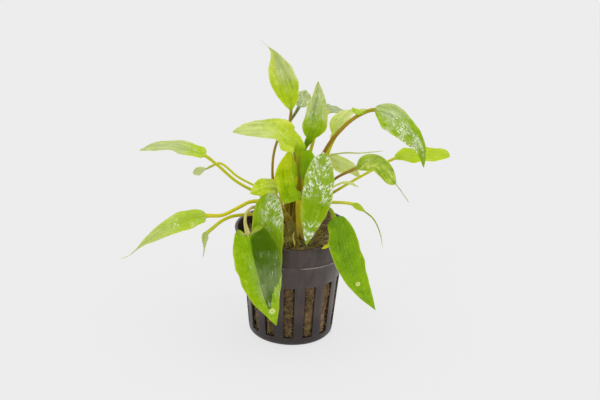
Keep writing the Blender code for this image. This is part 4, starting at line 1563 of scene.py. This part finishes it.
leaf("leaf_right_arch", "leaf_deep", seat(2, 323),
     stalk=[(11, -10, 71.6), (18, -12, 81.2)],
     blade=[(27, -14, 87.4), (31, -15, 91), (36, -17, 92), (40, -19, 89), (46, -20, 81), (51, -20, 74)],
     half=(5.4, 4.4), face=((0, -5, 8), (6, -6, 5)), fold=(-10, -10), widest=0.42, draw=0.42, shoulder=1.3,
     thread=0.69, wing=0.5, radius=0.6, wave=0.6,
     base=(146, 174, 16), tip=(158, 188, 24), deep=(98, 132, 2), pale=(204, 216, 120),
     low_stalk=(136, 92, 34), high_stalk=(164, 140, 44), browning=1.5, contrast=1.2, streaky=2.6,
     mist=0.12, wet=0.5, marks=900.0, stretch=6.0, slant=0.0, cover=0.2)
leaf("leaf_right_edge_on", "leaf_fresh", seat(2, 75),
     stalk=[(10, 10, 67)], blade=[(15, 13, 82), (21, 14, 84), (30, 15, 84), (41, 16, 85)],
     half=(1.2, 1.2), face=((0, 4, 9), (0, 4, 9)), radius=0.4,
     base=(228, 236, 160), tip=(238, 242, 204), high_stalk=(218, 226, 130))
leaf("leaf_right_back", "leaf_grey", seat(2, 45),
     stalk=[(11, 12, 63)], blade=[(15, 18, 79.6), (21, 19, 77.4), (27, 20, 74.4), (31, 20, 69.6)],
     half=(4.6, 3.8), face=((0, -5, 8), (3, -7, 5)), fold=(-10, -10), shoulder=0.8,
     base=(202, 218, 98), tip=(212, 224, 134), deep=(168, 190, 50), pale=(232, 240, 186), contrast=0.8,
     mist=0.5)
leaf("leaf_right_droop", "leaf_fresh", seat(2, 349),
     stalk=[(14, -3, 65.2), (20, -6, 67.4)],
     blade=[(26.6, -8.6, 67.9), (31, -9.8, 65.8), (36.4, -11, 61.8), (39.8, -12, 54.4), (41, -13, 48)],
     half=(2.1, 1.8), face=((2, -5, 8), (9, -3, 3)), fold=(5, 5), widest=0.35, thread=0.26, radius=0.62,
     base=(176, 200, 44), tip=(228, 234, 168), high_stalk=(222, 226, 80), browning=0.4)
leaf("leaf_right_small", "leaf_light", seat(3, 5),
     stalk=[(13, 3, 67)], blade=[(21, 6, 72), (25, 7, 72), (30, 7, 70)],
     half=(0.8, 0.8), face=((0, -6, 8), (0, -6, 8)), fold=(5, 5), sheath=0.3, radius=0.3,
     base=(214, 224, 120), tip=(224, 232, 160), high_stalk=(204, 212, 120))

# %% [markdown]
# The last leaves stand in the middle or hang over the pot's rim towards the viewer. They show their
# upper sides, so they have the broadest blades and the finest finish: lobes at the base, painted
# glints, a pale spot on two of them, which on the large front leaf is a painted highlight, and a
# half that lies in painted shade. One young shoot lies on the rim.

# %% The leaves in the middle and in front
leaf("leaf_centre", "leaf_deep", seat(1, 270),
     stalk=[(4, -2, 70)], blade=[(5, -4, 78), (5, -5, 84), (6, -5, 92)],
     half=(4.9, 5.8), face=((2, -10, 2), (2, -10, 5)), draw=0.6, sheath=4.2,
     base=(134, 178, 12), tip=(146, 190, 18), deep=(88, 130, 2), pale=(168, 204, 40), contrast=0.8,
     vein=0.1)
leaf("leaf_centre_left", "leaf_light", Vector((4, -12, 51)) * MM,
     stalk=[(3.2, -14, 58), (2.4, -14, 65)],
     blade=[(2, -13, 70.6), (0, -7, 75.6), (-1, -4, 82.6), (-2, -2, 92)],
     half=(2.5, 9.0), face=((-4, -10, 1), (-2, -10, 3)), fold=(-60, 10), widest=0.4, shoulder=0.6,
     lobe=1.0, sheath=1.4, radius=0.95,
     base=(152, 192, 4), tip=(200, 220, 20), deep=(112, 152, 2), pale=(216, 232, 80),
     low_stalk=(134, 116, 24), high_stalk=(196, 182, 40), browning=0.55, contrast=1.2, vein=0.1)
leaf("leaf_front_wet", "leaf_wet", seat(2, 297),
     stalk=[(9, -11, 75), (11, -15, 89)],
     blade=[(12.2, -19, 95.4), (11, -26, 90), (10, -32, 81), (8, -35, 71), (6, -36, 59)],
     half=(7.0, 7.0), face=((0, -6, 8), (0, -10, 2)), fold=(-14, -14), widest=0.45, sheath=2.5, wave=0.7,
     waves=3.0,
     base=(132, 166, 10), tip=(126, 162, 6), deep=(104, 140, 2), pale=(180, 202, 80), contrast=0.9,
     wet=1.0, marks=1250.0, stretch=3.0, slant=0.5, cover=0.75, dry=(0.52, 0.76))
leaf("leaf_front_left_upper", "leaf_wet", seat(2, 240),
     stalk=[(-6, -9, 64), (-9, -14, 71)],
     blade=[(-10, -19, 76), (-11, -25, 72), (-11, -29, 64), (-10, -32, 52), (-8, -34, 38), (-6, -34, 25)],
     half=(7.0, 7.0), face=((0, -6, 8), (0, -10, 1)), fold=(-10, -10), widest=0.25, sheath=3.0,
     base=(128, 162, 10), tip=(98, 142, 2), deep=(90, 120, 2), pale=(176, 198, 90), contrast=0.8, wet=0.9,
     wet_from=0.02, wet_to=0.24, wet_side=-1.0, marks=1700.0, stretch=4.0, slant=0.5, cover=0.95)
# Its pale spot is a painted highlight, and its dark half is painted shade
leaf("leaf_front_left", "leaf_wet", seat(3, 225),
     stalk=[(-9, -15, 66), (-16, -20, 70), (-20, -25, 70), (-21, -30, 67)],
     blade=[(-19.4, -32.6, 61.4), (-17.8, -36, 56), (-16, -38.5, 49), (-12.6, -40, 37), (-6, -39, 21)],
     half=(9.0, 11.6), face=((-1, -10, 3), (0, -10, 1)), fold=(-8, -8), widest=0.28, shoulder=0.7,
     lobe=9.0, wing=0.7, radius=0.66,
     base=(132, 172, 6), tip=(146, 184, 10), deep=(104, 144, 2), pale=(196, 216, 70),
     low_stalk=(120, 84, 50), high_stalk=(204, 196, 124), dark_half=(48, 86, 2), contrast=1.0, vein=0.1,
     spot=(36.6, -1.0, 1.7), mist=0.3, mist_from=0.34, mist_to=0.66, mist_side=-1.4, wet=0.6, wet_from=0.3,
     wet_side=-1.0, marks=2200.0, stretch=12.0, slant=0.1, cover=0.4)
leaf("leaf_front_right", "leaf_fresh", seat(3, 320),
     stalk=[(11, -14, 68), (16, -23, 71)],
     blade=[(18, -28, 69), (21, -31, 64), (23, -33, 57), (29, -34, 42), (38, -33, 27)],
     half=(6.7, 6.7), face=((0, -10, 4), (1, -10, 1)), fold=(-8, -8), widest=0.35, shoulder=0.8, lobe=2.0,
     base=(106, 150, 2), tip=(128, 172, 2), deep=(88, 130, 1), pale=(152, 186, 24),
     high_stalk=(150, 170, 30), contrast=1.3, vein=0.16, spot=(32.0, 0.4, 1.2), wet=0.4, marks=1400.0,
     cover=0.12)
leaf("young_shoot", "leaf_light", Vector((17.6, -18.6, 54)) * MM,
     stalk=[(17, -21.4, 54.2)], blade=[(16, -23.2, 53.9), (14.6, -24.4, 53.4), (13, -25.3, 52.7)],
     half=(1.1, 1.1), face=((0, -2, 10), (0, -2, 10)), fold=(0, 0), sheath=0.0, wing=0.0, wave=0.1,
     uneven=0.2,
     base=(214, 220, 6), tip=(226, 230, 60), low_stalk=(204, 206, 20), high_stalk=(212, 216, 10),
     contrast=0.2)

# %% [markdown]
# Two growths are too small to be parts of the plain model: a crisp green frill on the neck of the
# high leaf, and a bare pale root in front of the rootstock. The leaf builder makes them as well,
# because both are short tapered strips.

# %% A frill and a root
leaf("high_right_frill", "leaf_wet", Vector((36, -6, 112.4)) * MM,
     stalk=[(33.4, -6.4, 112.6)],
     blade=[(30.4, -6.4, 112), (28, -6.8, 111), (26.2, -6.6, 111.2), (24.4, -6, 112.8)],
     half=(1.4, 1.4), face=((0, -9, 5), (0, -9, 5)), fold=(0, 0), widest=0.3, draw=0.5, sheath=0.0,
     wing=0.0, radius=0.3, wave=2.6, waves=5.0, uneven=5.0, extra=True,
     base=(206, 226, 96), tip=(176, 206, 60), deep=(132, 164, 14), pale=(236, 242, 180),
     high_stalk=(186, 206, 90), contrast=1.6)
leaf("pale_root", "crown", Vector((0.6, -13.2, 55.4)) * MM,
     stalk=[(0.3, -14.4, 54.2)], blade=[(0.2, -15.4, 53), (0.8, -16.4, 51.4), (0.9, -17.4, 49)],
     half=(0.46, 0.46), face=((0, -9, 4), (0, -9, 4)), fold=(0, 0), sheath=0.0, wing=0.0, radius=0.3,
     extra=True,
     base=(238, 226, 116), tip=(222, 204, 84), low_stalk=(206, 186, 80), high_stalk=(238, 226, 116),
     contrast=0.4)
print("leaves and growths:", len(leaf_pieces))

# %% [markdown]
#
# The dressed plant has to stay as large as the frame, so both boxes are measured and printed.
# Reading them off beats trusting the eye, because a tip that is 1 mm too long doesn't show.

# %% Finish
dressed_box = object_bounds()
sizes = {"cad": [list(corner) for corner in cad_box], "dressed": [list(corner) for corner in dressed_box]}
for label, (low_corner, high_corner) in sizes.items():
    print(label, "box in mm:", [[round(v / MM, 1) for v in corner] for corner in (low_corner, high_corner)])
